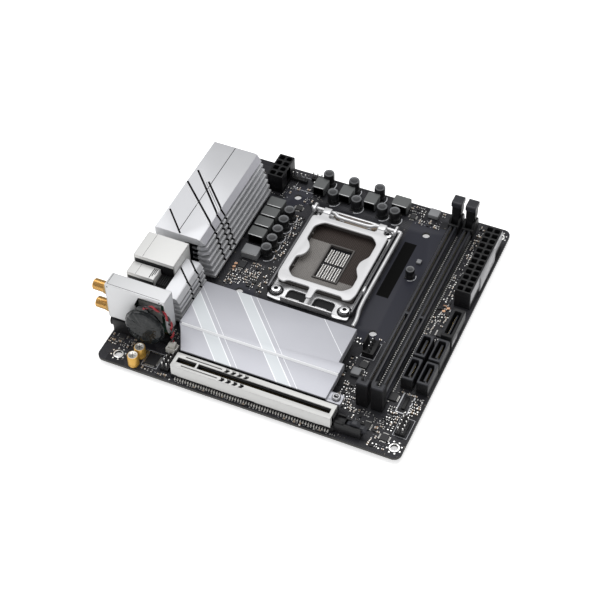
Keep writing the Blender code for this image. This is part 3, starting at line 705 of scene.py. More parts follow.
EYE_X, EYE_Y = (-2.5, 10.5), (10, 35)
socket_x, socket_y, socket_z = extent("socket_body")
WELL_X = around(SOCKET_X, 19.1)
WELL_Y = around(SOCKET_Y, 22.8)
KEY_PLACES = (12, 38.5)


def socket_well():
    """The well's outline, with its alignment keys."""
    (x0, x1), (y0, y1) = WELL_X, WELL_Y
    points = [(x0, y0), (x1, y0)]
    for y in KEY_PLACES:
        points += [(x1, y - 1), (x1 - 1.1, y - 0.6), (x1 - 1.1, y + 0.6), (x1, y + 1)]
    points += [(x1, y1), (x0, y1)]
    for y in reversed(KEY_PLACES):
        points += [(x0, y + 1), (x0 + 1.1, y + 0.6), (x0 + 1.1, y - 0.6), (x0, y - 1)]
    return points


socket = Piece("processor_socket")
socket.plate([rectangle(socket_x, socket_y, 0.8), socket_well()], *socket_z, socket_finish,
             edge=0.15)
socket.plate([rectangle(inset(socket_x, 1), inset(socket_y, 1)), rectangle(EYE_X, EYE_Y)],
             socket_z[0], 1.2, socket_finish, edge=0.05)
socket.plate([rectangle(inset(EYE_X, -0.8), inset(EYE_Y, -0.8), 0.4),
              rectangle(EYE_X, EYE_Y)], 1.2, 2.3, socket_finish, edge=0.08)
socket.finished("socket_body")

contacts = Piece("socket_contacts")
field_x, field_y = extent("contact_field")[:2]
contacts.plate([rectangle(field_x, field_y), rectangle(inset(EYE_X, -1), inset(EYE_Y, -1))],
               1.22, 1.45, carrier_finish, edge=0.02)
# Painted shade: the far L of the field takes the darker carrier and the darker contacts.
shaded_corner = [(field_x[0], EYE_Y[1] + 1), (EYE_X[1] + 1, EYE_Y[1] + 1),
               (EYE_X[1] + 1, EYE_Y[0] + 1.4), (field_x[1], EYE_Y[0] + 1.4),
               (field_x[1], field_y[1]), (field_x[0], field_y[1])]
contacts.plate([shaded_corner], 1.24, 1.5, shaded_carrier_finish, edge=0.02)
CONTACT_PITCH, CONTACT_COLUMNS, CONTACT_ROWS, CONTACT_Z = 0.94, 40, 47, 1.5
leaf = Piece("leaf")
leaf_mesh = bpy.data.meshes.new("leaf")
leaf_mesh.from_pydata(
    [(-0.16, -0.3, 0), (0.16, -0.3, 0), (0.16, -0.12, 0), (-0.16, -0.12, 0), (-0.12, 0.22, 0.42),
     (0.12, 0.22, 0.42), (0.12, 0.36, 0.40), (-0.12, 0.36, 0.40)], [],
    [(3, 2, 1, 0), (4, 5, 6, 7), (0, 1, 5, 4), (1, 2, 6, 5), (2, 3, 7, 6), (3, 0, 4, 7)])
leaf.add(leaf_mesh, contact_finish)
light_places, shaded_places = [], []
for i in range(CONTACT_COLUMNS):
    for j in range(CONTACT_ROWS):
        x, y = field_x[0] + 0.6 + i * CONTACT_PITCH, field_y[0] + 0.7 + j * CONTACT_PITCH
        over_eye = EYE_X[0] - 1.4 < x < EYE_X[1] + 1.4 and EYE_Y[0] - 1.4 < y < EYE_Y[1] + 1.4
        if over_eye or x > field_x[1] - 0.3:
            continue
        far_field = y > EYE_Y[1] + 0.6 or (x > EYE_X[1] + 0.6 and y > EYE_Y[0] + 1.2)
        (shaded_places if far_field else light_places).append(
            (x, y, CONTACT_Z, radians(225 if far_field else 45), (1, 1, 1)))
parts_at(contacts, leaf, light_places)
parts_at(contacts, leaf, shaded_places, shaded_contact_finish)
contacts.finished("contact_field")

chips = Piece("socket_capacitors")
body_places, cap_places = [], []
COLUMN_PITCH, CHIP_PITCH, CHIPS_IN_GROUP = 2.95, 1.12, 9
for column in range(4):
    x = EYE_X[0] + 2 + column * COLUMN_PITCH
    for start in (11.6, 23.4):
        for i in range(CHIPS_IN_GROUP):
            y = start + i * CHIP_PITCH
            body_places.append((x, y, 0.02, 0, (1, 1, 1)))
            cap_places += [(x - 0.72, y, 0.02, 0, (1, 1, 1)), (x + 0.72, y, 0.02, 0, (1, 1, 1))]
grey_ceramic_finish = plain_finish("grey_ceramic", (0.16, 0.15, 0.14), 0.45, depth=0.004)
parts_at(chips, small_block((-0.5, 0.5), (-0.42, 0.42), (0, 0.9), grey_ceramic_finish, 0.05),
         body_places)
parts_at(chips, small_block((-0.3, 0.3), (-0.45, 0.45), (0, 0.95), end_cap_finish, 0.06),
         cap_places)
chips.finished()


# Socket frame, screws and backplate
# A stamped and plated steel frame sits round the socket. Its near apron is pierced, its sides
# turn up into rails, and four screws clamp it through the board to a black backplate.

steel_finish = plain_finish("plated_steel", (0.66, 0.66, 0.67), 0.38, 0.7, spread=0.06, grain=0.25,
                            depth=0.006, stretch=(1, 6, 1))
screw_finish = plain_finish("screw_steel", (0.66, 0.66, 0.67), 0.24, 1.0, depth=0.006)
# Painted shade: a near-black laid into slots, seams, screw sockets, holes and gaps where shade
# falls.
recess_shade_finish = plain_finish("recess_shadow", (0.012, 0.012, 0.013), 0.5, Specular_IOR_Level=0.15,
    grain=0.12)
black_steel_finish = plain_finish("black_steel", (0.035, 0.035, 0.038), 0.42, 0.3, grain=0.3)

# The rails are painted near-black: painted shade and the dark reflection the rails show.
rail_finish = plain_finish("shaded_steel", (0.11, 0.11, 0.115), 0.34, 0.6, grain=0.25, depth=0.006)
warm_finish = plain_finish("oiled_steel", (0.25, 0.20, 0.155), 0.4, 0.3, spread=0.35, grain=0.8,
    depth=0.02)

frame_y = extent("socket_frame")[1]
HINGE_Y, HINGE_Z, LEVER_R = 56.4, 4.3, 1.1
SCREWS = ((-16.9, -7.2), (23.1, -7.2), (-16.9, 54), (23.1, 54))
RAILS = ((-21.9, -20.5), (26.7, 28))


def eased(loop, reach):
    """The same outline with each corner rounded off."""
    points = []
    for before, here, after in zip(loop[-1:] + loop[:-1], loop, loop[1:] + loop[:1]):
        a, b, c = Vector(before), Vector(here), Vector(after)
        cut_in = min(reach, (a - b).length * 0.45)
        cut_out = min(reach, (c - b).length * 0.45)
        start, end = b + (a - b).normalized() * cut_in, b + (c - b).normalized() * cut_out
        for i in range(5):
            t = i / 4
            place = start * (1 - t) ** 2 + b * 2 * t * (1 - t) + end * t * t
            points.append((place.x, place.y))
    return points


holder = Piece("socket_frame_sheet")
apron = [
    (-20.4, -6), (-20.4, -12.4), (-15, -13.2), (-12, -13.2), (-12, -12.6), (18, -12.6),
    (18, -13.2), (21, -13.2), (26.6, -12.4), (26.6, -6), (26.6, 59.4), (-20.4, 59.4)]
window = rectangle(around(SOCKET_X, 21.9), around(SOCKET_Y, 25.9), 1.2)
slots = [eased([(-10.6, -11.2), (0.3, -11.2), (0.3, -5), (-1, -3.4), (-9.4, -3.4), (-10.6, -5)],
               0.9), eased([(4.9, -11.2), (16.8, -11.2), (16.8, -5), (15.6, -3.4), (6.2, -3.4),
    (4.9, -5)], 0.9)]
holder.plate([eased(apron, 1.2), window] + slots, 0.5, 1.6, steel_finish, edge=0.25, steps=2)
for low, high in RAILS:
    holder.block((low, high), (frame_y[0] + 5, frame_y[1] - 1.8), (0.6, 4.4), rail_finish, edge=0.4,
                 steps=3)
    side = eased([(52.6, 2.4), (53.2, 6.4), (54.8, 6.9), (58.2, 6.9), (59.2, 5.6), (59.2, 2.4)],
                 0.9)
    holder.plate([side, ring((HINGE_Y, HINGE_Z), LEVER_R + 0.25, 32)], low, high, steel_finish,
                 edge=0.2, axis="X", steps=2)
holder.block((-12, 18), (-13.2, -12.1), (0.8, 4.6), steel_finish, edge=0.4, steps=3)
for x in (-5.2, 10.8):
    holder.block(around(x, 3.4), (-11.6, -10.3), (1.2, 2.9), steel_finish, edge=0.3)
# Painted shade: a near-black sheet lies under each pierced slot in the apron.
for low, high in ((-10.5, 0.2), (5, 16.7)):
    holder.block((low, high), (-11.1, -3.5), (0.05, 0.45), recess_shade_finish, edge=0)
holder.block((27.6, 28.6), (6, 10), (1, 6.8), steel_finish, edge=0.25)
# Painted shadow: a dark ring round each near screw head.
for x, y in SCREWS[:2]:
    holder.turned((x, y, 1.6), [(4.2, 0), (4.1, 0.06), (3, 0.06)], recess_shade_finish)
for x in (-9.5, -4.5, 12, 17):
    holder.turned((x, 53.6, 1.6), [(1.6, 0), (1.6, 0.5), (1.3, 0.75), (0.6, 0.75), (0.5, 0.2),
        (0, 0.2)], steel_finish, sides=28, closed=True)
holder.block((-12, 18), (50.9, 52), (0.8, 2.9), steel_finish, edge=0.3)
holder.block((-10.4, 16.8), (52.2, 58), (1.5, 1.75), warm_finish, edge=0.05)
holder.block((-11, 17.4), (58.2, 59.4), (0.9, 3), steel_finish, edge=0.3)
holder.finished("socket_frame")

for number, (x, y) in enumerate(SCREWS, 1):
    screw = Piece(f"socket_screw_{number}")
    low, top = extent(f"frame_screw_{number}")[2]
    screw.turned((x, y, 0), [(0, low), (1.6, low), (1.6, 1.75), (2.75, 1.75), (2.9, 1.9),
        (2.9, top - 0.7), (2.6, top - 0.15), (2.3, top), (1.25, top), (1.1, top - 0.15)],
                 screw_finish, sides=48)
    # The socket in each head is lined with painted shade.
    screw.turned((x, y, 0), [(1.12, top - 0.12), (1.12, top - 0.75), (0.25, top - 0.8),
        (0, top - 0.8)], recess_shade_finish, sides=6)
    screw.finished(f"frame_screw_{number}")

back_x, back_y, back_z = extent("socket_backplate")
back = Piece("socket_backplate_sheet")
back_outline = [(back_x[0], back_y[0] + 8), (back_x[0] + 8, back_y[0]), (back_x[1] - 8, back_y[0]),
                (back_x[1], back_y[0] + 8), (back_x[1], back_y[1] - 8), (back_x[1] - 8, back_y[1]),
                (back_x[0] + 8, back_y[1]), (back_x[0], back_y[1] - 8)]
back.plate([eased(back_outline, 3), rectangle((-9, 16), (8, 42), 2)] + [ring(place, 1.9, 32)
    for place in SCREWS], *back_z, black_steel_finish, edge=0.3, steps=2)
back.finished("socket_backplate")


# Load plate and lever
# The steel plate that presses the processor down, with a window that narrows at its two pads.
# It swings on the cranked shaft of a bent wire lever, which latches beside the frame.

plate_finish = plain_finish("matte_steel", (0.62, 0.62, 0.63), 0.46, 0.45, spread=0.05, depth=0.006)
plate = Piece("load_plate_sheet")
PLATE_LOW, PLATE_TOP = 5.1, 6.3
outer = [
    (-19.8, 2.2), (-18.2, -2.4), (-14, -3.6), (-12.6, -1.5), (0.6, -1.5), (0.9, -9.3), (4.3, -9.3),
    (4.6, -1.5), (18.8, -1.5), (20.2, -3.6), (24.2, -2.4), (25.6, 2.2), (25.6, 49), (22, 50),
    (22, 55.4), (17.5, 55.4), (17.5, 50), (-11, 50), (-11, 55.4), (-15.5, 55.4), (-15.5, 50),
    (-19.8, 49)]
opening = [
    (-11.4, 2), (17.4, 2), (21.5, 6.2), (21.5, 14.6), (19.6, 18), (18.2, 20.6), (18.2, 25.4),
    (19.8, 28.4), (21.5, 31), (21.5, 41.6), (17.4, 46), (-11.4, 46), (-15.5, 41.6), (-15.5, 31),
    (-13.2, 29), (-11.2, 25.8), (-11.2, 21.6), (-13, 18.4), (-15.5, 17), (-15.5, 6.2)]
plate.plate([eased(outer, 1.6), eased(opening, 1.9)], PLATE_LOW, PLATE_TOP, plate_finish, edge=0.5,
            steps=4)
pad_left = [(-18, 15.2), (-13.2, 18.6), (-11.4, 21.8), (-11.4, 25.6), (-13.4, 28.8), (-18, 32.6)]
pad_right = [(24, 32.6), (20, 28.6), (18.4, 25.4), (18.4, 20.8), (19.8, 18.2), (24, 15.2)]
for pad in (pad_left, pad_right):
    plate.plate([eased(pad, 1.4)], PLATE_LOW - 0.5, PLATE_LOW + 0.5, plate_finish, edge=0.3,
                steps=2)
for low, high in ((-15.5, -11), (17.5, 22)):
    plate.block((low, high), (52.2, 56.6), (5.75, 6.9), steel_finish, edge=0.4, steps=3)
plate.finished("load_plate", body="plate", angle=40)

lever = Piece("load_lever_wire")
CRANK = 2.3
lever_x = extent("load_lever")[0]
lever.wire([(lever_x[0], HINGE_Y, HINGE_Z), (-10.5, HINGE_Y, HINGE_Z),
            (-8.6, HINGE_Y - 0.4, HINGE_Z), (-6.6, HINGE_Y - CRANK, HINGE_Z),
            (3, HINGE_Y - CRANK, HINGE_Z), (12.6, HINGE_Y - CRANK, HINGE_Z),
            (14.6, HINGE_Y - 0.4, HINGE_Z), (16.5, HINGE_Y, HINGE_Z), (28.2, HINGE_Y, HINGE_Z),
            (30.2, HINGE_Y, HINGE_Z), (30.2, HINGE_Y - 2.4, HINGE_Z), (30.2, 20, HINGE_Z),
            (30.2, -3.5, HINGE_Z), (31.6, -9.5, HINGE_Z + 0.3), (32.1, -12.5, HINGE_Z + 0.3),
            (32.1, -17.5, HINGE_Z + 0.3)], LEVER_R, steel_finish, sides=20)
lever.finished("load_lever", body="lever")


# Power heatsink
# A tall extruded aluminium block, blasted and clear anodised, beside the socket. Its fins step
# outwards towards the board, and slanting channels are milled across its top and down the fins.

silver_finish = plain_finish("blasted_aluminium", (0.575, 0.58, 0.60), 0.45, 0.5, spread=0.035,
                             grain=0.16, depth=0.008)
# Painted shade: near-black for the channel floors and walls, the slots between the fins and the
# deep gaps below sheets.
painted_shade_finish = plain_finish("channel_black", (0.008, 0.008, 0.009), 0.6, Specular_IOR_Level=0.1,
    grain=0.12)
# Painted highlight: a bright near-white for the channel edges.
painted_highlight_finish = plain_finish("cut_bright_edge", (0.86, 0.86, 0.87), 0.22, 0.8, grain=0.1,
    depth=0.002)

sink_x, sink_y, sink_z = extent("vrm_heatsink")


FIN_SHARE, GAP_SHARE, FIN_EASE = 0.48, 0.55, 0.3


def fin_outline(left, core, tops, low, high, fins, slab, shoulder):
    """The end outline of a finned block: a thick slanting top, then fins that step outwards."""
    right, top_edge = tops
    pitch = (high - slab - low) / fins
    slope = (right - top_edge - 1.6) / (high - low)
    points = [(left, low)]
    for i in range(fins):
        base = low + i * pitch
        tip = right - slope * (base - low)
        gap = base + pitch * GAP_SHARE
        points += [(tip - FIN_EASE, base), (tip, base + FIN_EASE), (tip, base + pitch * FIN_SHARE),
                   (tip - 0.25, gap), (core, gap), (core, base + pitch)]
    points += [(right - slope * (high - slab - low), high - slab), (top_edge + 0.3, high - 0.5),
               (top_edge - shoulder, high), (left, high)]
    return points


def channel(cutter, start, end, width, low, high, finish, fall=None):
    """A milled channel between two points on top, with a fall that runs on down the fins."""
    a, b = Vector(start), Vector(end)
    side = Vector((a.y - b.y, b.x - a.x)).normalized() * width / 2
    cutter.plate([[(a - side)[:], (b - side)[:], (b + side)[:], (a + side)[:]]], low, high, finish,
                 edge=0)
    if fall:
        depth, bottom = fall
        cutter.block((b.x - 0.6, b.x + depth), around(b.y, width * 0.6), (bottom, high),
                     finish, edge=0)


def milled(piece, body, tools):
    """Cuts tools out of a body one at a time, so that tools which cross still cut cleanly."""
    for tool, finish in tools.solids:
        single = Piece("channel")
        single.add(tool, finish)
        body = piece.cut(body, single)
    return body


power_sink = Piece("power_heatsink")
outline = fin_outline(-67.4, -65.2, (sink_x[1], -58), sink_z[0], sink_z[1], 6, 4.6, 1.2)
outline = outline[:-1] + [(sink_x[0] + 0.4, sink_z[1]), (sink_x[0], sink_z[1] - 0.4),
    (sink_x[0], 23.6), (-67.5, 23.6), (-67.5, sink_z[0])]
body = power_sink.plate([outline[1:]], *sink_y, silver_finish, edge=0.12, axis="Y")
tools = Piece("power_channels")
TOP = sink_z[1]
CHANNELS = (((-73, 28.5), (-57.4, 12.2)), ((-82.5, 34.5), (-57.4, 7.6)),
            ((-84, 24.5), (-57.4, -0.2)))
# The channels' cut faces take the painted shade black.
for start, end in CHANNELS:
    channel(tools, start, end, 1.15, TOP - 1.1, TOP + 1, painted_shade_finish, fall=(9, 5))
channel(tools, (-83, 1.5), (-69.5, -12.9), 1, TOP - 0.9, TOP + 1, painted_shade_finish)
channel(tools, (-71, 60), (-71, -11.5), 0.4, TOP - 0.35, TOP + 1, painted_shade_finish)
# The slots cut through the fins' near end are painted shade.
tools.block((-66.9, -59.6), (sink_y[0] - 1, sink_y[0] + 4.5), (2, 25.2), painted_shade_finish, edge=0)
tools.plate([[(-50, sink_y[0] - 2), (-50, sink_y[0] + 5), (-60.4, sink_y[0] - 2)]], 18, TOP + 1,
            silver_finish, edge=0)
milled(power_sink, body, tools)
# Near-black plates between the fins at each fall: painted shade.
painted_shade_outline = [(-63, 4.6), (-50.75, 4.6), (-55.75, 25.2), (-58.3, 28.9), (-63, 28.9)]
for start, end in CHANNELS:
    power_sink.plate([painted_shade_outline[::-1]], *around(end[1], 0.62), painted_shade_finish, edge=0, axis="Y")
# Thin bright strips beside the channels: painted highlights on the channel edges.
EDGE_SHIFT, EDGE_HALF = 1.05, 0.12
for side, (start, end) in zip((-1, 1, -1), CHANNELS):
    strip = [(x + side * EDGE_SHIFT + half, y + side * EDGE_SHIFT + half)
             for (x, y), half in ((start, -EDGE_HALF), (end, -EDGE_HALF), (end, EDGE_HALF),
        (start, EDGE_HALF))]
    power_sink.plate([strip], TOP - 0.2, TOP + 0.01, painted_highlight_finish, edge=0)
# A darker copy of the aluminium on the sloping face above the fins: painted shade.
slope_shade_finish = plain_finish("blasted_rim", (0.48, 0.48, 0.52), 0.5, 0.3, spread=0.04, grain=0.16,
    depth=0.008)
for low, high in ((-11.9, -0.95), (0.55, 6.85), (8.35, 11.45), (12.95, sink_y[1] - 0.2)):
    power_sink.plate([[(-55.59, 25.29), (-55.30, 25.46), (-57.64, 29.47), (-57.93, 29.30)]], low,
                     high, slope_shade_finish, edge=0, axis="Y")
power_sink.finished("vrm_heatsink", angle=25)


# Chipset heatsink
# A smaller finned block of the same kind behind the network jack, with two slanting channels
# that cross its top and run down its fins.

small_x, small_y, small_z = extent("chipset_heatsink")
small_sink = Piece("chipset_heatsink_block")
outline = fin_outline(small_x[0], -57.4, (small_x[1], -54), small_z[0], small_z[1], 4, 3.2, 0.8)
body = small_sink.plate([outline], *small_y, silver_finish, edge=0.12, axis="Y")
# Near-black plates between the fins at each fall, and black cut faces: painted shade.
painted_shade_outline = [(-57, 5.4), (-57, 21), (-54.3, 21), (-51.3, 5.4)]
for start, end in (((-62.6, -27.9), (-53.8, -36.5)), ((-61.4, -19.9), (-53.8, -27.4))):
    tools = Piece("chipset_channel")
    channel(tools, start, end, 1, small_z[1] - 0.9, small_z[1] + 1, painted_shade_finish, fall=(5, 7))
    body = milled(small_sink, body, tools)
    small_sink.plate([painted_shade_outline], *around(end[1], 0.55), painted_shade_finish, edge=0, axis="Y")
small_sink.finished("chipset_heatsink", angle=25)


# Drive plate
# A thin machined aluminium cover over the storage drive, held by one captive screw at a tab.
# Slanting bands are blasted brighter than the rest, and the front half lies a step lower.

BRIGHT_BANDS, BAND_SLANT = ((-54, -46.2), (-88.5, -79.5)), 0.936


def drive_plate_finish():
    made = Finish("banded_aluminium", 0.4, 0.5)
    slant = (made.x - BOARD_ORIGIN.x / MM) + BAND_SLANT * (made.y - BOARD_ORIGIN.y / MM)
    grain = made.speckle(0.16, 3.0)
    drift = made.speckle(12.0, 2.0)
    share, lines = None, None
    for low, high in BRIGHT_BANDS:
        band = slant.step(low - 0.15, low + 0.15) * (1 - slant.step(high - 0.15, high + 0.15))
        edge = (abs(slant - low) < 0.32) + (abs(slant - high) < 0.32) + (abs(slant
            - (high + 3.6)) < 0.18)
        share = band if share is None else share + band
        lines = edge if lines is None else lines + edge
    lines = lines + (abs(slant + 3.6) < 0.22)
    base = made.blend(grain * 0.5 + drift * 0.5, (0.385, 0.39, 0.425), (0.44, 0.445, 0.48))
    tone = made.blend(share * 0.9, base, (0.58, 0.61, 0.63))
    made.send("Base Color", made.blend(lines * 0.8, tone, (0.84, 0.85, 0.87)))
    made.send("Roughness", 0.38 + 0.08 * grain + 0.08 * share)
    made.relief(grain * 0.35 + share * 0.3 - lines * 0.5, 0.02)
    return made


band_finish = drive_plate_finish()
step_highlight_finish = plain_finish("step_edge", (0.86, 0.87, 0.89), 0.4, 0.1, spread=0.03, grain=0.16,
    depth=0.004)
cover_z = extent("m2_heatsink")[2]
STEP_Y, STEP_Z = -55, 11.2
cover = Piece("drive_plate")
rear_part = [(-49.9, -24), (-49.9, STEP_Y), (40.3, STEP_Y), (40.3, -48), (37.3, -48), (37.3, -24)]
front_part = [(-49.9, STEP_Y + 0.5), (-49.9, -55.5), (-47.6, -59), (-41, -71.7), (40.3, -71.7),
              (40.3, STEP_Y + 0.5)]
cover.plate([rear_part], cover_z[0], cover_z[1], band_finish, edge=0.3, steps=2)
cover.plate([front_part], cover_z[0], STEP_Z, band_finish, edge=0.3, steps=2)
cover.plate([eased([(39, -71.7), (48, -71.7), (48, -65.2), (39, -65.2)], 1),
             ring((44.5, -68.2), 1.5, 24)], cover_z[0] + 0.6, 9.8, band_finish, edge=0.2)
# Painted highlight: a bright slanted strip at the step between the plate's two levels.
cover.plate([[(-56.2, 11.1), (-54.9, 11.1), (-54.9, 11.96), (-55.3, 11.96), (-56.2, 11.32)]], -48.6,
            40, step_highlight_finish, edge=0.02, axis="X")
# A near-black strip at the plate's near edge: painted shade in the gap beneath.
cover.block((-41, 40), (-71.78, -71.6), (cover_z[0] + 0.4, 10.5), painted_shade_finish, edge=0)
cover.finished("m2_heatsink")

dark_screw_finish = plain_finish("dark_screw", (0.30, 0.30, 0.31), 0.3, 0.8, depth=0.006)
captive = Piece("drive_plate_screw")
low, top = extent("m2_heatsink_screw")[2]
captive.turned((44.5, -68.2, 0), [(0, low), (1.2, low), (1.2, 9.9), (2.15, 9.9), (2.3, 10.05),
    (2.3, top - 0.45), (1.9, top), (1.3, top), (0.9, top - 0.5), (0.3, top - 0.6), (0, top - 0.6)],
               dark_screw_finish, sides=40)
# The slot in the screw head is painted shade.
captive.block((43.1, 45.9), (-68.45, -67.95), (top - 0.35, top - 0.1), recess_shade_finish, edge=0.02)
captive.finished("m2_heatsink_screw")

pad_finish = plain_finish("thermal_pad", (0.34, 0.35, 0.38), 0.85, grain=0.5, depth=0.06)
chip_finish = plain_finish("chip_resin", (0.020, 0.020, 0.022), 0.42, Specular_IOR_Level=0.3)
black_finish = plain_finish("black_moulding", (0.011, 0.011, 0.012), 0.42, grain=0.18, depth=0.008,
                            Specular_IOR_Level=0.22)
# A grey-black moulding colour, also laid as a painted highlight on the drive ports' top rims.
grey_and_highlight_finish = plain_finish("grey_black_moulding", (0.030, 0.031, 0.037), 0.38, grain=0.18,
    depth=0.008, Specular_IOR_Level=0.3)
for node, finish in (("vrm_thermal_pad", pad_finish), ("m2_thermal_pad", pad_finish),
                     ("chipset", chip_finish), ("m2_socket", black_finish)):
    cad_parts[node].data.materials.clear()
    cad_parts[node].data.materials.append(finish.material)


# Expansion slot
# A long black moulded slot soldered to the board, clad in a folded bright steel shield with
# punched slanting marks. Sprung gold contacts line its groove, and a latch turns at its end.

armour_finish = plain_finish("shield_steel", (0.53, 0.53, 0.52), 0.42, 0.35, spread=0.04,
    grain=0.22, depth=0.005, stretch=(4, 1, 1))
gold_finish = plain_finish("contact_plating", (0.83, 0.62, 0.27), 0.25, 0.95, depth=0.004)

fillet_finish = plain_finish("solder_fillet", (0.66, 0.65, 0.62), 0.45, 0.2, grain=0.3)

slot_x, slot_z = extent("pcie_slot")[::2]
SLOT_Y, KEY_X = -78.3, -28.5
slot = Piece("expansion_slot")
rim = (slot_x[0], 48.7)
profile = both_sides(SLOT_Y, [(3.7, slot_z[0]), (3.7, 3.6), (2.6, 4.2), (2.6, 10.5), (0.9, 10.5),
    (0.9, 2.4)])
slot.plate([profile], *rim, black_finish, edge=0.1, axis="X")
slot.block(around(KEY_X, 0.9), around(SLOT_Y, 1.2), (2, 10.3), black_finish)
slot.block((slot_x[0], slot_x[0] + 1.8), around(SLOT_Y, 2.6), (0.5, 10.4), black_finish)
slot.block((46, 48.7), around(SLOT_Y, 2.6), (0.5, 10.4), black_finish)
tail = [(48.5, SLOT_Y - 3), (slot_x[1], SLOT_Y - 3), (slot_x[1], SLOT_Y - 1.7),
        (53.8, SLOT_Y - 1.7), (53.8, SLOT_Y + 1.7), (slot_x[1], SLOT_Y + 1.7),
        (slot_x[1], SLOT_Y + 3), (48.5, SLOT_Y + 3)]
slot.plate([eased(tail, 0.5)], slot_z[0], 7.4, black_finish, edge=0.2)
slot.block((53, slot_x[1]), around(SLOT_Y, 2.4), (slot_z[0], 1.6), black_finish)
for side in (-1, 1):
    slot.block((49.2, 53.4), around(SLOT_Y + side * 2.2, 0.5), (7.2, 8.8), black_finish)
SLOT_PIN_PITCH, SLOT_FOOT_PITCH = 1.0, 1.5
spring = small_block((-0.24, 0.24), (-0.16, 0.16), (-2.6, 2.6), gold_finish, 0.05)
foot = small_block((-0.27, 0.27), (-0.6, 0.6), (0, 1.7), fillet_finish, 0.12)
for side in (-1, 1):
    rows_of(slot, spring, (-38.6, SLOT_Y + side * 0.86, 6.4), (SLOT_PIN_PITCH, 0, 0), 10)
    rows_of(slot, spring, (-26.0, SLOT_Y + side * 0.86, 6.4), (SLOT_PIN_PITCH, 0, 0), 72)
    rows_of(slot, foot, (-39.5, SLOT_Y + side * 4.45, 0.02), (SLOT_FOOT_PITCH, 0, 0), 58)
slot.finished("pcie_slot")

shield = Piece("slot_shield")
shield_x, shield_y, shield_z = extent("pcie_slot_shield")
punched = []
for side in (-1, 1):
    middle = SLOT_Y + side * 3.05
    for i in range(4):
        x = -12.8 + i * 3.6
        punched.append([(x - 1.5, middle - 1.25), (x + 0.5, middle - 1.25), (x + 1.5, middle + 0.2),
                        (x + 0.8, middle + 1.25), (x - 1.2, middle + 1.25),
                        (x - 0.5, middle + 0.2)])
    punched.append(rectangle((-36, -15.5), around(middle, 0.3)))
shield.plate([eased(rectangle(shield_x, shield_y), 0.5), rectangle((-39.6, KEY_X - 0.55),
    around(SLOT_Y, 1.6), 0.3), rectangle((KEY_X + 0.55, 45.6), around(SLOT_Y, 1.6), 0.3)] + punched,
             10.75, shield_z[1], armour_finish, edge=0.1, steps=2)
# Near-black strips under the punched marks: painted shade seen through them.
for y in around(SLOT_Y, 3.2):
    shield.block((-38, 4), around(y, 1.1), (10.3, 10.85), painted_shade_finish, edge=0)
for side, y in ((-1, shield_y[0]), (1, shield_y[1])):
    inner = y - side * 0.7
    low, high = min(y, inner), max(y, inner)
    face = [(shield_x[0] + 0.1, 11.1), (shield_x[0] + 0.1, 4.3), (shield_x[0] + 3, 4.3),
            (shield_x[0] + 3.6, shield_z[0]), (-2, shield_z[0]), (-1.4, 4.3), (5.6, 4.3),
            (6.2, shield_z[0]), (shield_x[1] - 6, shield_z[0]), (shield_x[1] - 5.4, 4.3),
            (shield_x[1] - 0.1, 4.3), (shield_x[1] - 0.1, 11.1)]
    shield.plate([face[::-1]], low, high, armour_finish, edge=0.18, axis="Y", steps=2)
for x in (shield_x[0], shield_x[1] - 0.7):
    shield.block((x, x + 0.7), inset(shield_y, 0.2), (5, 11.2), armour_finish, edge=0.15)
shield.finished("pcie_slot_shield")

latch = Piece("expansion_slot_latch")
latch_x, latch_y, latch_z = extent("pcie_slot_latch")
latch_side = [(latch_x[0], 3.4), (latch_x[0] + 0.8, 2.5), (61, latch_z[0]), (latch_x[1], 4.6),
              (latch_x[1], 6.6), (63.4, 7.4), (61.8, 7), (60.2, latch_z[1]), (57.2, latch_z[1]),
              (56.6, 7.6), (latch_x[0] + 0.6, 7.2), (latch_x[0], 6.4)]
latch.plate([eased(latch_side, 0.6)], *latch_y, grey_and_highlight_finish, edge=0.3, axis="Y", steps=2)
rib = small_block((-0.14, 0.14), (-1.05, 1.05), (0, 0.3), grey_and_highlight_finish, 0.05)
rows_of(latch, rib, (62.6, SLOT_Y, 6.55), (0.55, 0, -0.02), 5)
latch.finished("pcie_slot_latch", body="pcie_latch")


# Memory slots
# Two long ribbed mouldings with a central groove, lined with gold contacts and crossed by a key.
# A fixed tower stands at the near end of each, and a thumb latch turns in cheeks at the far end.

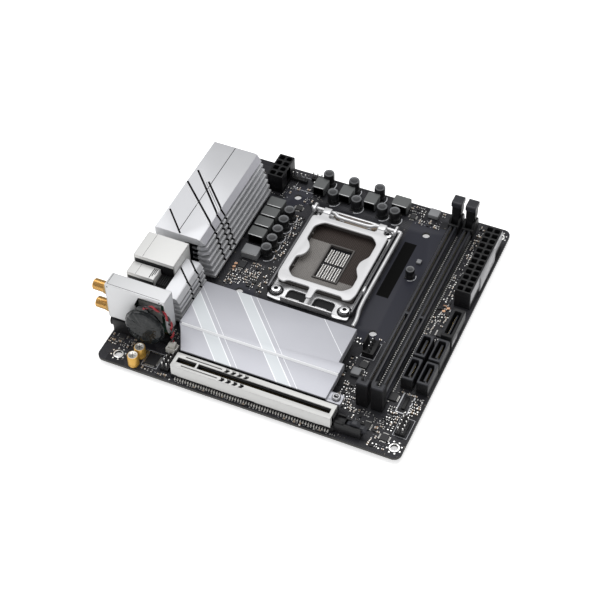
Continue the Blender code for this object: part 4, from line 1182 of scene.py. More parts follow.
lead_finish = plain_finish("lead_feet", (0.74, 0.73, 0.70), 0.3, 0.9, grain=0.3)
KEY_Y, PIN_PITCH, FOOT_PITCH, RIB_PITCH = 2, 0.85, 1.42, 1.7
dull_gold_finish = plain_finish("dull_contact", (0.42, 0.39, 0.33), 0.4, 0.4, depth=0.004)
contact = small_block((-0.11, 0.11), (-0.16, 0.16), (-1.2, 1.2), dull_gold_finish, 0.04)
foot = small_block((-0.42, 0.42), (-0.34, 0.34), (0, 0.3), lead_finish, 0.1)
rib = small_block((-0.12, 0.12), (-0.16, 0.16), (-1.1, 1.1), grey_and_highlight_finish, 0.03)
cheek = [(72, 0.4), (81.6, 0.4), (81.6, 4.6), (80.6, 8.4), (79.4, 9), (74.6, 9), (73.4, 8.2),
         (72, 5.4)]
for letter in "ab":
    memory_x, memory_y, memory_z = extent(f"dimm_slot_{letter}")
    x = (memory_x[0] + memory_x[1]) / 2
    memory = Piece(f"memory_slot_{letter}")
    wall = both_sides(x, [(2.6, memory_z[0]), (2.6, 3.4), (2.15, 3.9), (2.15, 4.7), (1.75, 5.6),
        (0.95, 5.6), (0.8, 5.3), (0.8, 2.4)])
    memory.plate([wall], -60.6, 72.6, grey_and_highlight_finish, edge=0.1, axis="Y")
    memory.block(around(x, 0.95), around(KEY_Y, 0.8), (2.2, 5.7), grey_and_highlight_finish, edge=0.12)
    tower = both_sides(x, [(3.2, memory_y[0]), (3.2, -55.6), (0.95, -55.6), (0.95, -59.4)])
    memory.plate([eased(tower, 0.5)], 0.4, 17, black_finish, edge=0.2, steps=2)
    cap = both_sides(x, [(3.1, memory_y[0] + 0.1), (3.1, -57), (1.3, -57), (1.3, -59)])
    memory.plate([eased(cap, 0.4)], 16.4, 18, grey_and_highlight_finish, edge=0.35, steps=2)
    memory.block(around(x, 3), (-58.4, -56), (0.4, 6.4), black_finish, edge=0.3)
    memory.block(around(x, 3.2), (71, 72.6), (0.4, 6.2), black_finish, edge=0.3)
    for side in (-1, 1):
        low, high = sorted((x + side * 1.9, x + side * 3.2))
        memory.plate([eased(cheek, 0.8)], low, high, black_finish, edge=0.25, axis="X", steps=2)
        rows_of(memory, contact, (x + side * 0.78, -53.6, 3.7), (0, PIN_PITCH, 0), 64)
        rows_of(memory, contact, (x + side * 0.78, 4.2, 3.7), (0, PIN_PITCH, 0), 79)
        rows_of(memory, foot, (x + side * 3.15, -53.0, 0.02), (0, FOOT_PITCH, 0), 87)
        rows_of(memory, rib, (x + side * 2.55, -54.2, 2.0), (0, RIB_PITCH, 0), 74)
    memory.block(around(x, 2), (71.5, 81.4), (0.35, 1.2), black_finish, edge=0.1)
    memory.finished(f"dimm_slot_{letter}")

    thumb = Piece(f"memory_latch_{letter}")
    thumb_x, thumb_y, thumb_z = extent(f"dimm_latch_{letter}")
    stem = [(74.6, 2.9), (75.6, thumb_z[0]), (79.2, thumb_z[0]), (80.4, 3.2), (80.6, 10),
            (80.6, 19), (75, 19), (75, 9), (74.6, 7.6)]
    thumb.plate([eased(stem, 0.5)], x - 1.8, x + 1.8, black_finish, edge=0.3, axis="X", steps=2)
    head = [(74.4, 17), (81.2, 17), (thumb_y[1], 17.4), (thumb_y[1], 20), (80.7, thumb_z[1] - 0.1),
            (74.9, thumb_z[1] - 0.1), (thumb_y[0], 20), (thumb_y[0], 17.4)]
    thumb.plate([eased(head, 0.4)], thumb_x[0], thumb_x[1], grey_and_highlight_finish, edge=0.35, axis="X",
                steps=3)
    thumb.plate([eased([(75.3, 10.6), (79.2, 10.6), (80.2, 12.4), (80.2, 18.6), (75.3, 18.6)],
        0.5)], thumb_x[0] + 0.25, thumb_x[1] - 0.25, black_finish, edge=0.3, axis="X", steps=2)
    grip = small_block((-2.3, 2.3), (-0.2, 0.2), (0, 0.25), grey_and_highlight_finish, 0.06)
    rows_of(thumb, grip, (x, 75.9, thumb_z[1] - 0.2), (0, 0.9, 0), 5)
    thumb.finished(f"dimm_latch_{letter}", body=f"memory_latch_{letter}")


# Power connectors
# Two black nylon housings for the supply's plugs, a wide one at the front edge and a short one
# behind the heatsink. Each square cell holds a tinned pin, and the wide one has a catch rib.

# A lighter copy of the black nylon: painted sheen on the catch rib and a painted highlight along
# the USB socket's outer side.
painted_sheen_finish = plain_finish("nylon_shine", (0.26, 0.26, 0.27), 0.3, spread=0.2, grain=0.4)


CELL_HALF, HOUSING_WALL = 1.55, 0.3


def pin_housing(name, node, x, y, rows, moulding):
    """A housing with two columns of square cells, and a pin standing in each."""
    made = Piece(name)
    low, high = extent(node)[2]
    pitch_x = (x[1] - x[0] - 2 * HOUSING_WALL) / 2
    pitch_y = (y[1] - y[0] - 2 * HOUSING_WALL) / rows
    cells = []
    for i in range(2):
        for j in range(rows):
            cell_x = x[0] + HOUSING_WALL + pitch_x * (i + 0.5)
            cell_y = y[0] + HOUSING_WALL + pitch_y * (j + 0.5)
            cells.append(rectangle(around(cell_x, CELL_HALF), around(cell_y, CELL_HALF),
                                   0.35 if (i + j) % 2 else 0.9, 3))
    made.plate([rectangle(x, y, 0.4)] + cells, 2.4, high, moulding, edge=0.14)
    made.block(x, y, (low, 2.9), moulding, edge=0.1)
    pin = small_block((-0.42, 0.42), (-0.42, 0.42), (0, 5), tin_finish, 0.2)
    rows_of(made, pin, (x[0] + HOUSING_WALL + pitch_x / 2, y[0] + HOUSING_WALL + pitch_y / 2, 2.8),
            (0, pitch_y, 0), rows, (pitch_x, 0, 0), 2)
    return made


wide = pin_housing("board_power_housing", "atx_power_connector", (74.3, 83.2), (21, 72.4), 12,
    black_finish)
# The catch rib is coloured with painted sheen.
rib_side = [(83, 1), (83.9, 1), (84.3, 3), (84.3, 10.4), (83.7, 12), (83, 12)]
wide.plate([rib_side], 35, 58, painted_sheen_finish, edge=0.15, axis="Y")
wide.block((83.1, 83.45), (21.4, 72), (5, 12.5), painted_sheen_finish, edge=0.12)
wide.finished("atx_power_connector")
black_nylon_finish = plain_finish("black_nylon", (0.005, 0.005, 0.006), 0.4, grain=0.3,
    Specular_IOR_Level=0.2)
short = pin_housing("processor_power_housing", "cpu_power_connector", (-54.2, -45), (63, 81), 4,
                    black_nylon_finish)
short.block((-45.3, -45), (69.4, 74.6), (4, 12), black_nylon_finish, edge=0.1)
short.finished("cpu_power_connector")


# Drive and front-panel sockets
# Four upright shrouded drive ports with L-shaped tongues, a ribbed USB socket and a fan header,
# all moulded in black and soldered along the front edge.

PIN_GRID = 2.54
DRIVE_PORTS = ((72.1, -17.9), (80.5, -17.9), (72.1, -34.6), (80.5, -34.6))
for number, (x, y) in enumerate(DRIVE_PORTS, 1):
    port = Piece(f"drive_port_{number}")
    low, high = extent(f"sata_port_{number}")[2]
    mouth = eased([(x - 2.2, y - 6.2), (x + 2.2, y - 6.2), (x + 2.2, y + 3.4), (x + 1.4, y + 6.2),
                   (x - 2.2, y + 6.2)], 0.5)
    outside = eased(rectangle(around(x, 3.3), around(y, 7.7)), 0.8)
    port.plate([outside, mouth], 1.6, high - 0.7, black_finish, edge=0.15)
    # The lighter rim along each port's top edge is a painted highlight.
    port.plate([eased(rectangle(around(x, 3.2), around(y, 7.6)), 0.8), mouth], high - 1.2, high,
               grey_and_highlight_finish, edge=0.28, steps=2)
    port.block(around(x, 3.3), around(y, 7.7), (low, 2), black_finish)
    port.block(around(x, 0.6), around(y, 5.2), (1.6, 7), grey_and_highlight_finish, edge=0.15)
    port.block((x - 0.6, x + 1.5), (y - 5.2, y - 4.1), (1.6, 7), grey_and_highlight_finish, edge=0.15)
    blade = small_block((-0.08, 0.08), (-0.35, 0.35), (0, 4.2), gold_finish, 0.03)
    rows_of(port, blade, (x + 0.62, y - 3.2, 2.2), (0, PIN_GRID / 2, 0), 7)
    port.finished(f"sata_port_{number}")

usb_x, usb_y, usb_z = extent("usb_c_header")
front_usb = Piece("front_usb_socket")
front_usb.plate([rectangle(usb_x, usb_y, 0.7), rectangle((79, 82.7), (-6.4, 9.8), 0.5)], 2.6,
                usb_z[1], black_finish, edge=0.3, steps=2)
front_usb.block(inset(usb_x, 0.2), inset(usb_y, 0.2), (usb_z[0], 3), black_finish)
front_usb.block((80.4, 81.3), (-5.6, 9), (2.8, 7.6), grey_and_highlight_finish, edge=0.15)
tooth = small_block((-0.7, 0.7), (-0.2, 0.2), (0, 0.45), grey_and_highlight_finish, 0.06)
rows_of(front_usb, tooth, (78.25, -6.6, usb_z[1] - 0.35), (0, 0.95, 0), 18)
rows_of(front_usb, small_block((-0.12, 0.12), (-0.2, 0.2), (0, 3.8), gold_finish, 0.03),
        (80.36, -5.0, 3.2), (0, 0.7, 0), 20)
# A light bar along the socket's outer side: painted highlight.
front_usb.block((83.95, 84.2), (-8, -1), (2, 5.2), painted_sheen_finish, edge=0.1)
front_usb.finished("usb_c_header")

fan_x, fan_y, fan_z = extent("fan_header")
fan = Piece("fan_header_moulding")
fan.block(fan_x, fan_y, (fan_z[0], 3.2), black_finish, edge=0.25)
fan.plate([eased([(-28.6, 0.8), (-22, 0.8), (-22, 8.6), (-23, 9.4), (-27.6, 9.4), (-28.6, 8.6)],
                 0.5)], 42.4, 43.6, black_finish, edge=0.25, axis="X", steps=2)
for i in range(4):
    y = -28.9 + PIN_GRID * i
    fan.block((45.68, 46.32), around(y, 0.32), (2.8, 8.4), solder_finish, edge=0.14)
    fan.block((45.1, 46.9), around(y, 0.9), (3, 3.2), grey_and_highlight_finish, edge=0.08)
fan.finished("fan_header")


# Rear port stacks
# Folded tin-plated cans round black mouldings, open at the rear edge of the board. Each mouth
# has a tongue with gold contacts and sprung fingers, and the network jack has two lamps.

can_finish = plain_finish("tinplate", (0.68, 0.68, 0.67), 0.48, 0.25, spread=0.05, grain=0.3,
    depth=0.005, stretch=(5, 1, 1))
tongue_finish = plain_finish("port_tongue", (0.03, 0.05, 0.16), 0.4)
lamp_green = plain_finish("lamp_green", (0.12, 0.42, 0.10), 0.3, grain=0.3)
lamp_amber = plain_finish("lamp_amber", (0.60, 0.30, 0.05), 0.3, grain=0.3)


def port_can(name, node, mouths, tongue_at=()):
    """A shell with mouths in its rear panel, a liner behind each, and folded seams on top."""
    x, y, z = extent(node)
    made = Piece(name)
    holes = [rectangle(a, b, 0.5, 3) for a, b in mouths]
    made.plate([rectangle(y, z, 0.5, 3)] + holes, x[0], x[0] + 0.5, can_finish, edge=0.1, axis="X")
    made.plate([rectangle((x[0] + 0.2, x[1]), y, 0.5, 3)], z[1] - 0.5, z[1], can_finish, edge=0.15)
    wall = [(x[0] + 0.2, z[0]), (x[1], z[0]), (x[1], z[1] - 0.1), (x[0] + 0.2, z[1] - 0.1)]
    for low, high in ((y[0], y[0] + 0.45), (y[1] - 0.45, y[1])):
        made.plate([wall], low, high, can_finish, edge=0.12, axis="Y")
    # A black sheet on the near side wall: painted shade.
    made.block((x[0] + 0.6, x[1] - 0.4), (y[0] - 0.02, y[0] + 0.1), (z[0] + 0.4, z[1] - 2.2),
               black_finish, edge=0.02)
    made.block((x[1] - 0.45, x[1]), y, z, can_finish, edge=0.12)
    made.block((x[0] + 12.0, x[1] - 0.5), inset(y, 0.5), (z[0] + 0.1, z[1] - 0.6), black_finish)
    made.plate([rectangle(inset(y, 0.5), (z[0] + 0.1, z[1] - 0.6))] + holes, x[0] + 0.6,
               x[0] + 12.2, black_finish, edge=0.05, axis="X")
    for (ya, yb), (za, zb) in mouths:
        if (ya, za) in tongue_at:
            mid = (za + zb) / 2
            made.block((x[0] + 1.6, x[0] + 12.0), (ya + 1.2, yb - 1.2), (mid - 0.2, mid + 0.9),
                       tongue_finish, edge=0.15)
            pin = small_block((0, 6), (-0.35, 0.35), (0, 0.12), gold_finish, 0.03)
            rows_of(made, pin, (x[0] + 2.2, ya + 3.0, mid - 0.28), (0, (yb - ya - 6.0) / 3, 0), 4)
        for share in (0.3, 0.7):
            finger = ya + (yb - ya) * share
            made.block((x[0] + 0.4, x[0] + 4.0), around(finger, 0.7), (zb - 0.22, zb - 0.02),
                       can_finish, edge=0.05)
    # A dark seam line across the top: painted shade.
    made.block((x[0] + 5.2, x[0] + 5.35), inset(y, 0.3), (z[1] - 0.03, z[1] + 0.008), recess_shade_finish,
               edge=0.0)
    return made


lan = port_can("network_stack", "lan_usb_stack", [((-31.6, -18.6), (15.2, 25.6)),
    ((-32, -18.8), (1.6, 6.4)), ((-32, -18.8), (8.2, 13))], ((-32, 1.6), (-32, 8.2)))
for y, finish in ((-30.4, lamp_green), (-21.6, lamp_amber)):
    lan.block((-85.9, -85), around(y, 1.1), (25.9, 27.2), finish, edge=0.1)
pin = small_block((0, 5), (-0.16, 0.16), (0, 0.3), gold_finish, 0.04)
rows_of(lan, pin, (-84.0, -28.9, 24.6), (0, 1.02, 0), 8)
lan.finished("lan_usb_stack")
usb_small = port_can("usb_stack_can", "usb_stack_shell", [((-41.9, -36.9), (1.8, 13.2)),
    ((-41.2, -37.8), (14.6, 21.8))])
can_x, can_y, can_z = extent("usb_stack_shell")
# Dark lines across the top: painted shade.
for i in range(3):
    usb_small.block((can_x[1] - 3.4 + 0.9 * i, can_x[1] - 2.9 + 0.9 * i),
                    (can_y[0] + 0.6 + 1.5 * i, can_y[1] - 0.6), (can_z[1] - 0.05, can_z[1] + 0.01),
                    recess_shade_finish, edge=0)
usb_small.finished("usb_stack_shell")
core_x, core_y, core_z = extent("usb_stack_core")
core = Piece("usb_stack_moulding")
core.block(core_x, core_y, (core_z[0], core_z[1] - 1.4), black_finish, edge=0.3)
bar = small_block((-0.35, 0.35), (-3.7, 3.7), (0, 1.4), black_finish, 0.15)
rows_of(core, bar, (core_x[0] + 0.7, (core_y[0] + core_y[1]) / 2, core_z[1] - 1.41), (1.18, 0, 0),
        6)
core.finished("usb_stack_core")
port_can("display_stack_can", "display_stack", [((38, 52.2), (2, 7)), ((37.2, 52.8), (11.6, 16.8))],
         ((38, 2), (37.2, 11.6))).finished("display_stack")
port_can("usb_port_can", "usb_port_stack", [((9, 21.6), (1.8, 6.6)), ((9, 21.6), (9.2, 14))],
         ((9, 1.8), (9, 9.2))).finished("usb_port_stack")

for number, y in enumerate((-61.4, -50.6), 1):
    jack = Piece(f"audio_socket_{number}")
    jack_x, jack_z = extent(f"audio_jack_{number}")[::2]
    jack.block((-84.1, jack_x[1]), around(y, 4.9), jack_z, black_finish, edge=0.4, steps=3)
    jack.turned((0, y, 5.2), [(2.1, jack_x[0] + 9), (2.1, jack_x[0] + 0.3), (2.4, jack_x[0]),
        (3.3, jack_x[0]), (3.6, jack_x[0] + 0.3), (3.6, -83.6)], black_finish, axis="X")
    jack.turned((0, y, 5.2), [(2.12, jack_x[0] + 0.5), (2.12, jack_x[0] + 1.8),
        (2.4, jack_x[0] + 1.8)], gold_finish, axis="X")
    # A dark disc deep in the bore: painted shade.
    jack.turned((0, y, 5.2), [(0, jack_x[0] + 6), (2.2, jack_x[0] + 6)], recess_shade_finish, axis="X")
    jack.finished(f"audio_jack_{number}")


# Radio box and aerial jacks
# A folded sheet-metal box stands on the board round an upright radio card. Two gold threaded
# aerial jacks pass through its rear panel, each held by a hexagonal nut.

sheet_finish = plain_finish("folded_sheet", (0.57, 0.575, 0.585), 0.42, 0.4, spread=0.04,
    grain=0.25, depth=0.005, stretch=(1, 1, 5))
aerial_finish = plain_finish("gold_plate", (0.66, 0.45, 0.19), 0.24, 0.95, spread=0.08, depth=0.004)
insulator_finish = plain_finish("white_insulator", (0.78, 0.77, 0.72), 0.5)
card_finish = plain_finish("card_mask", (0.012, 0.045, 0.030), 0.4, grain=0.5)
box_x, box_y, box_z = extent("wifi_shield")
AERIAL_Y, AERIAL_Z = -61, (28, 14.2)
THREADS, THREAD_PITCH = 12, 0.55
box_shell = Piece("radio_box")
box_shell.plate([rectangle(box_x, box_y, 0.9, 4)], box_z[1] - 0.7, box_z[1] - 0.01, sheet_finish,
                edge=0.3, steps=3)
box_shell.plate([rectangle(box_y, (box_z[0], box_z[1] - 0.2), 0.5)] + [ring((AERIAL_Y, z), 2.9)
    for z in AERIAL_Z], box_x[0], box_x[0] + 0.7, sheet_finish, edge=0.25, axis="X", steps=2)
box_shell.plate([[(box_x[0] + 0.1, box_z[0]), (box_x[1] - 0.1, box_z[0]),
                  (box_x[1] - 0.1, box_z[1] - 0.2), (box_x[0] + 0.1, box_z[1] - 0.2)]],
                box_y[1] - 0.7, box_y[1], sheet_finish, edge=0.25, axis="Y")
box_shell.plate([eased([(box_y[0] + 0.1, box_z[1] - 0.3), (box_y[0] + 0.1, 16),
    (box_y[0] + 1.6, box_z[0]), (box_y[1] - 0.1, box_z[0]), (box_y[1] - 0.1, box_z[1] - 0.3)],
    1.2)], box_x[1] - 0.7, box_x[1], sheet_finish, edge=0.25, axis="X", steps=2)
near = [(box_x[0] + 0.1, 11.2), (-63.94, 11.2), (-69.5, 27), (-66.5, 33.6), (box_x[1] - 0.1, 33.6),
        (box_x[1] - 0.1, box_z[1] - 0.2), (box_x[0] + 0.1, box_z[1] - 0.2)]
box_shell.plate([eased(near, 0.8)], box_y[0], box_y[0] + 0.7, sheet_finish, edge=0.22, axis="Y",
                steps=2)
# Dark seam lines on the top and three dark spots on the near face: painted shade.
box_shell.block((box_x[0] + 1.4, box_x[1] - 3), (box_y[0] + 0.85, box_y[0] + 1.1),
                (box_z[1] - 0.06, box_z[1]), recess_shade_finish, edge=0)
box_shell.block((box_x[0] + 1, box_x[0] + 1.25), (box_y[0] + 0.9, box_y[1] - 0.6),
                (box_z[1] - 0.06, box_z[1]), recess_shade_finish, edge=0)
for x, z in ((-54.4, 34.8), (-53.2, 34.2), (-84.6, 34.4)):
    box_shell.turned((x, box_y[0] + 0.02, z), [(0.5, 0), (0.4, -0.03), (0, -0.03)], recess_shade_finish,
                     axis="Y", sides=14)
box_shell.finished("wifi_shield")

radio = Piece("radio_card")
card = [(-72, 3), (-53.2, 3), (-53.2, 33), (-75.2, 33), (-75.2, 10.9), (-72, 10.9)]
radio.plate([card[::-1]], -60.2, -59.3, card_finish, edge=0.06, axis="Y")
radio.block((-70, -57), (-60.7, -60.1), (13, 26), can_finish, edge=0.2)
radio.block((-69.6, -57.4), (-59.4, -58.9), (14, 24), chip_finish, edge=0.15)
rows_of(radio, small_block((-0.25, 0.25), (-0.04, 0.04), (0, 2.4), gold_finish),
        (-71.2, -60.22, 3.6), (0.62, 0, 0), 28)
radio.finished("wifi_card")
base_x, base_y, base_z = extent("wifi_socket")
card_socket = Piece("radio_card_socket")
card_socket.plate([rectangle(base_x, base_y, 0.3), rectangle((-72, -53.1), (-60.5, -59))], 2.4,
                  base_z[1], black_finish, edge=0.1)
card_socket.block(base_x, base_y, (base_z[0], 2.6), black_finish, edge=0.1)
card_socket.finished("wifi_socket")

for label, z in zip(("upper", "lower"), AERIAL_Z):
    aerial = Piece(f"aerial_jack_{label}")
    face = box_x[0]
    profile = [(0, face + 3.2), (2.7, face + 3.2), (2.7, face - 2.3)]
    for i in range(THREADS):
        start = face - 2.3 - i * THREAD_PITCH
        profile += [(2.82, start - 0.05), (3.1, start - 0.22), (3.1, start - 0.32),
                    (2.82, start - 0.5)]
    tip = face - 9.2
    profile += [(2.8, tip + 0.3), (2.6, tip), (1.9, tip), (1.9, tip + 5.7)]
    aerial.turned((0, AERIAL_Y, z), profile, aerial_finish, axis="X", sides=36)
    aerial.turned((0, AERIAL_Y, z), [(3.6, face - 0.4), (4, face - 0.7), (4, face - 2.1),
        (3.6, face - 2.4), (2.7, face - 2.4), (2.7, face - 0.4), (3.6, face - 0.4)], aerial_finish,
                  axis="X", sides=6)
    aerial.turned((0, AERIAL_Y, z), [(0, tip + 5.7), (1.88, tip + 5.7), (1.88, tip + 2.6),
        (0.7, tip + 2.6), (0, tip + 2.6)], insulator_finish, axis="X")
    aerial.turned((0, AERIAL_Y, z), [(0.5, tip + 5.6), (0.5, tip + 1.6), (0.3, tip + 1.4),
        (0, tip + 1.4)], gold_finish, axis="X", sides=20)
    aerial.finished(f"antenna_jack_{label}")


# Battery and its lead
# A coin cell shrunk into glossy black film leans on the radio box. A short twisted red and
# black pair leaves its top and drops to a white plug in a header on the board.

film_finish = plain_finish("shrink_film", (0.007, 0.009, 0.010), 0.15, spread=0.5, grain=6.0,
    depth=0.5, Specular_IOR_Level=0.3)
red_finish = plain_finish("red_insulation", (0.30, 0.012, 0.020), 0.28, grain=0.3)
dark_wire_finish = plain_finish("black_insulation", (0.030, 0.022, 0.024), 0.25, grain=0.3)
nylon_finish = plain_finish("white_nylon", (0.86, 0.85, 0.80), 0.5, grain=0.3)

CELL_CENTRE, CELL_TILT = Vector((-62.4, -69.35, 17.2)), radians(6)
FILM_SIDES, FILM_HALF, EDGE_BAND = 96, 2.05, 0.3
FILM_PROFILE = (
    (3.6, -2), (7.2, -2), (9.6, -1.95), (10.4, -1.5), (10.6, -0.7), (10.9, -0.2), (11.3, -0.12),
    (11.3, 0.12), (10.9, 0.2), (10.6, 0.7), (10.4, 1.5), (9.6, 1.95), (7.2, 2), (3.6, 2))


def film_place(r, h, angle):
    """A place on the film, moved by its broad creases and its finer folds."""
    crease = noise.noise(Vector((cos(angle) * 2.2, sin(angle) * 2.2, h * 0.4)))
    fold = noise.noise(Vector((cos(angle) * 6.0, sin(angle) * 6.0, 4.0 + h * 0.5)))
    on_edge = abs(h) < EDGE_BAND
    reach = r + (0.4 * crease + 0.15 * fold) * (r / 12) * (1.6 if on_edge else 1)
    lift = h + (0 if on_edge else 0.22 * fold * min(1, r / 9) * (1 if h > 0 else -1))
    return reach * cos(angle), reach * sin(angle), max(-FILM_HALF, min(FILM_HALF, lift))


film = bmesh.new()
loops = [[film.verts.new(film_place(r, h, 2 * pi * i / FILM_SIDES)) for i in range(FILM_SIDES)]
         for r, h in FILM_PROFILE]
for a, b in zip(loops, loops[1:]):
    for i in range(FILM_SIDES):
        film.faces.new((a[i], a[(i + 1) % FILM_SIDES], b[(i + 1) % FILM_SIDES], b[i]))
for loop, (r, h) in ((loops[0], FILM_PROFILE[0]), (loops[-1], FILM_PROFILE[-1])):
    middle = film.verts.new((0, 0, h))
    for i in range(FILM_SIDES):
        film.faces.new((loop[i], loop[(i + 1) % FILM_SIDES], middle))
bmesh.ops.recalc_face_normals(film, faces=film.faces)
film.transform(Matrix.Translation(CELL_CENTRE) @ Matrix.Rotation(pi / 2 - CELL_TILT, 4, "X"))
cell = Piece("wrapped_cell")
cell.add(mesh_of(film, "film"), film_finish)
tail = [(-66, 26), (-60, 26), (-59.4, 29.4), (-61, 31.2), (-64.2, 31.4), (-66.4, 29.6)]
cell.plate([eased(tail, 0.9)[::-1]], -68.9, -67.7, film_finish, edge=0.4, axis="Y", steps=3)
cell.finished("battery", angle=60)

LEAD_ROUTE = [Vector(place) for place in (
    (-62.6, -68.2, 30.8), (-58.6, -67.4, 31.6), (-54, -67, 31), (-50.2, -66.8, 27.4),
    (-48.4, -66.2, 20.6), (-48.6, -65.8, 13.4), (-49.4, -65.5, 7.2))]


FINE_STEPS = 40


def smooth_route(route, count):
    """Points at even steps along a smooth curve through the route."""
    nodes = [2 * route[0] - route[1], *route, 2 * route[-1] - route[-2]]
    fine = []
    for a, b, c, d in zip(nodes, nodes[1:], nodes[2:], nodes[3:]):
        for i in range(FINE_STEPS):
            t = i / FINE_STEPS
            fine.append(0.5 * (2 * b + (c - a) * t + (2 * a - 5 * b + 4 * c - d) * t * t
                               + (3 * b - a - 3 * c + d) * t ** 3))
    fine.append(nodes[-2])
    reach = [0]
    for a, b in zip(fine, fine[1:]):
        reach.append(reach[-1] + (b - a).length)
    out, at = [], 0
    for i in range(count):
        want = reach[-1] * i / (count - 1)
        while at < len(fine) - 2 and reach[at + 1] < want:
            at += 1
        share = (want - reach[at]) / max(1e-9, reach[at + 1] - reach[at])
        out.append(fine[at].lerp(fine[at + 1], min(1, share)))
    return out, reach[-1]


WIRE_THICK, TWIST_R, TWIST_PITCH = 1.15, 0.6, 7.4
ROUTE_POINTS = 120
LAST_POINT = ROUTE_POINTS - 1
middle_line, middle_length = smooth_route(LEAD_ROUTE, ROUTE_POINTS)
for label, start, finish in (("red", 0, red_finish), ("black", pi, dark_wire_finish)):
    side = Vector((0, -1, 0))
    points = []
    for i, place in enumerate(middle_line):
        ahead = (middle_line[min(i + 1, LAST_POINT)] - middle_line[max(i - 1, 0)]).normalized()
        side = (side - ahead * side.dot(ahead)).normalized()
        turn = start + 2 * pi * middle_length * i / LAST_POINT / TWIST_PITCH
        points.append(place + (side * cos(turn) + ahead.cross(side) * sin(turn)) * TWIST_R)
    strand = round_strand(f"battery_wire_{label}", [in_world(*place) for place in points],
                          WIRE_THICK / 2 * MM, 4)
    strand.splines[0].use_smooth = True
    strand.materials.append(finish.material)
    wire = in_scene(f"battery_wire_{label}", strand)
    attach(wire, "board")
    length = sum((b - a).length for a, b in zip(points, points[1:])) * MM
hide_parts("battery_lead")

header_x, header_y, header_z = extent("battery_header")
header = Piece("battery_header_moulding")
header.plate([rectangle(header_x, header_y, 0.3), rectangle((-51.6, -47.2), (-67.4, -64.2), 0.2)],
             1, header_z[1], nylon_finish, edge=0.15)
header.block(header_x, header_y, (header_z[0], 1.3), nylon_finish, edge=0.1)
header.finished("battery_header")
plug_x, plug_y, plug_z = extent("battery_plug")
plug = Piece("battery_plug_moulding")
plug.block(plug_x, plug_y, (plug_z[0], plug_z[1] - 0.6), nylon_finish, edge=0.25)
plug.block(inset(plug_x, 0.4), inset(plug_y, 0.4), (plug_z[1] - 1.2, plug_z[1]), nylon_finish,
           edge=0.3)
plug.finished("battery_plug")


# Power chokes
# Pressed metal-powder inductors in a row beside the heatsink and along the top edge. A bright
# lip along each one's near top edge is a painted highlight.

choke_finish = plain_finish("pressed_powder", (0.095, 0.100, 0.100), 0.5, spread=0.2, grain=0.3,
    depth=0.05)
grey_choke_finish = plain_finish("grey_choke", (0.21, 0.215, 0.225), 0.5, spread=0.1, grain=0.25,
    depth=0.03)
lip_highlight_finish = plain_finish("strip_lip", (0.60, 0.605, 0.61), 0.34, 0.4)
for number in range(1, 9):
    x, y, z = extent(f"choke_{number}")
    choke = Piece(f"power_choke_{number}")
    choke.plate([rectangle(x, y, 0.8)], 1.1, z[1], choke_finish, edge=0.3, steps=2)
    choke.block(inset(x, 0.3), inset(y, 0.3), (z[0], 1.4), black_finish, edge=0.1)
    choke.block(inset(x, 0.5), (y[0] - 0, y[0] + 0.12), (z[0], z[1] - 0.5), black_finish, edge=0.03)
    # Painted highlight along the near top edge.
    choke.block(inset(x, 0.6), (y[0] + 0.04, y[0] + 0.5), (z[1] - 0.4, z[1] + 0.02), lip_highlight_finish,
                edge=0.1)
    choke.finished(f"choke_{number}")


# Capacitors
# Polymer and audio electrolytic cans: turned aluminium cups rolled in at the rim, in black or
# gold sleeves, standing on moulded bases. Printed arcs mark their negative side on the board.

sleeve_finish = plain_finish("black_sleeve", (0.011, 0.011, 0.012), 0.32, grain=0.3,
    Specular_IOR_Level=0.3)
# The rolled rim of each cup is coloured lighter than its disc: painted highlight.
cup_rim_highlight_finish = plain_finish("cup_top", (0.105, 0.108, 0.114), 0.34, 0.4, grain=0.25)
disc_finish = plain_finish("cup_disc", (0.030, 0.031, 0.034), 0.4, 0.2, grain=0.25)
gold_sleeve_finish = plain_finish("gold_sleeve", (0.62, 0.36, 0.07), 0.32, 0.45, grain=0.25)
gold_top_finish = plain_finish("aluminium_top", (0.62, 0.60, 0.56), 0.34, 0.7, grain=0.25)

POLYMER = [(-33, y, 3.1, 7.5) for y in (46.5, 38.5, 30.5, 23, 15.5)]
POLYMER += [(-23.5, 80.5, 3.1, 9), (-8, 80.5, 3.1, 9), (7.5, 81, 3.1, 9)]
POLYMER += [(x, y, 3.1, 7.5) for x, y in ((-16.2, 68.8), (-1.8, 68.8), (13.8, 68.8), (21.5, 68.5))]
POLYMER += [(45.2, 31.5, 2.5, 6)]
cans = Piece("polymer_capacitors")
sleeve = Piece("sleeve")
sleeve.turned((0, 0, 0), [(1, 0), (1, 0.12), (0.93, 0.17), (0.93, 0.22), (1, 0.27), (1, 0.93),
    (0.93, 1), (0.80, 1)], sleeve_finish, sides=36)
cup = Piece("cup")
cup.turned((0, 0, 0), [(0.955, 0.982), (0.92, 1.006), (0.72, 1.006), (0.62, 0.992)], cup_rim_highlight_finish,
           sides=36)
disc = Piece("disc")
disc.turned((0, 0, 0), [(0.63, 0.985), (0.58, 0.978), (0, 0.978)], disc_finish, sides=36)
places = [(x, y, 0.03, 0.3 * i, (r, r, h)) for i, (x, y, r, h) in enumerate(POLYMER)]
parts_at(cans, sleeve, places)
parts_at(cans, cup, places)
parts_at(cans, disc, places)
for x, y, r, h in POLYMER:
    cans.block((x - r * 0.98, x + r * 0.98), (y - r * 0.98, y + r * 0.98), (0.02, 0.5),
               black_finish, edge=0.2)
cans.finished()

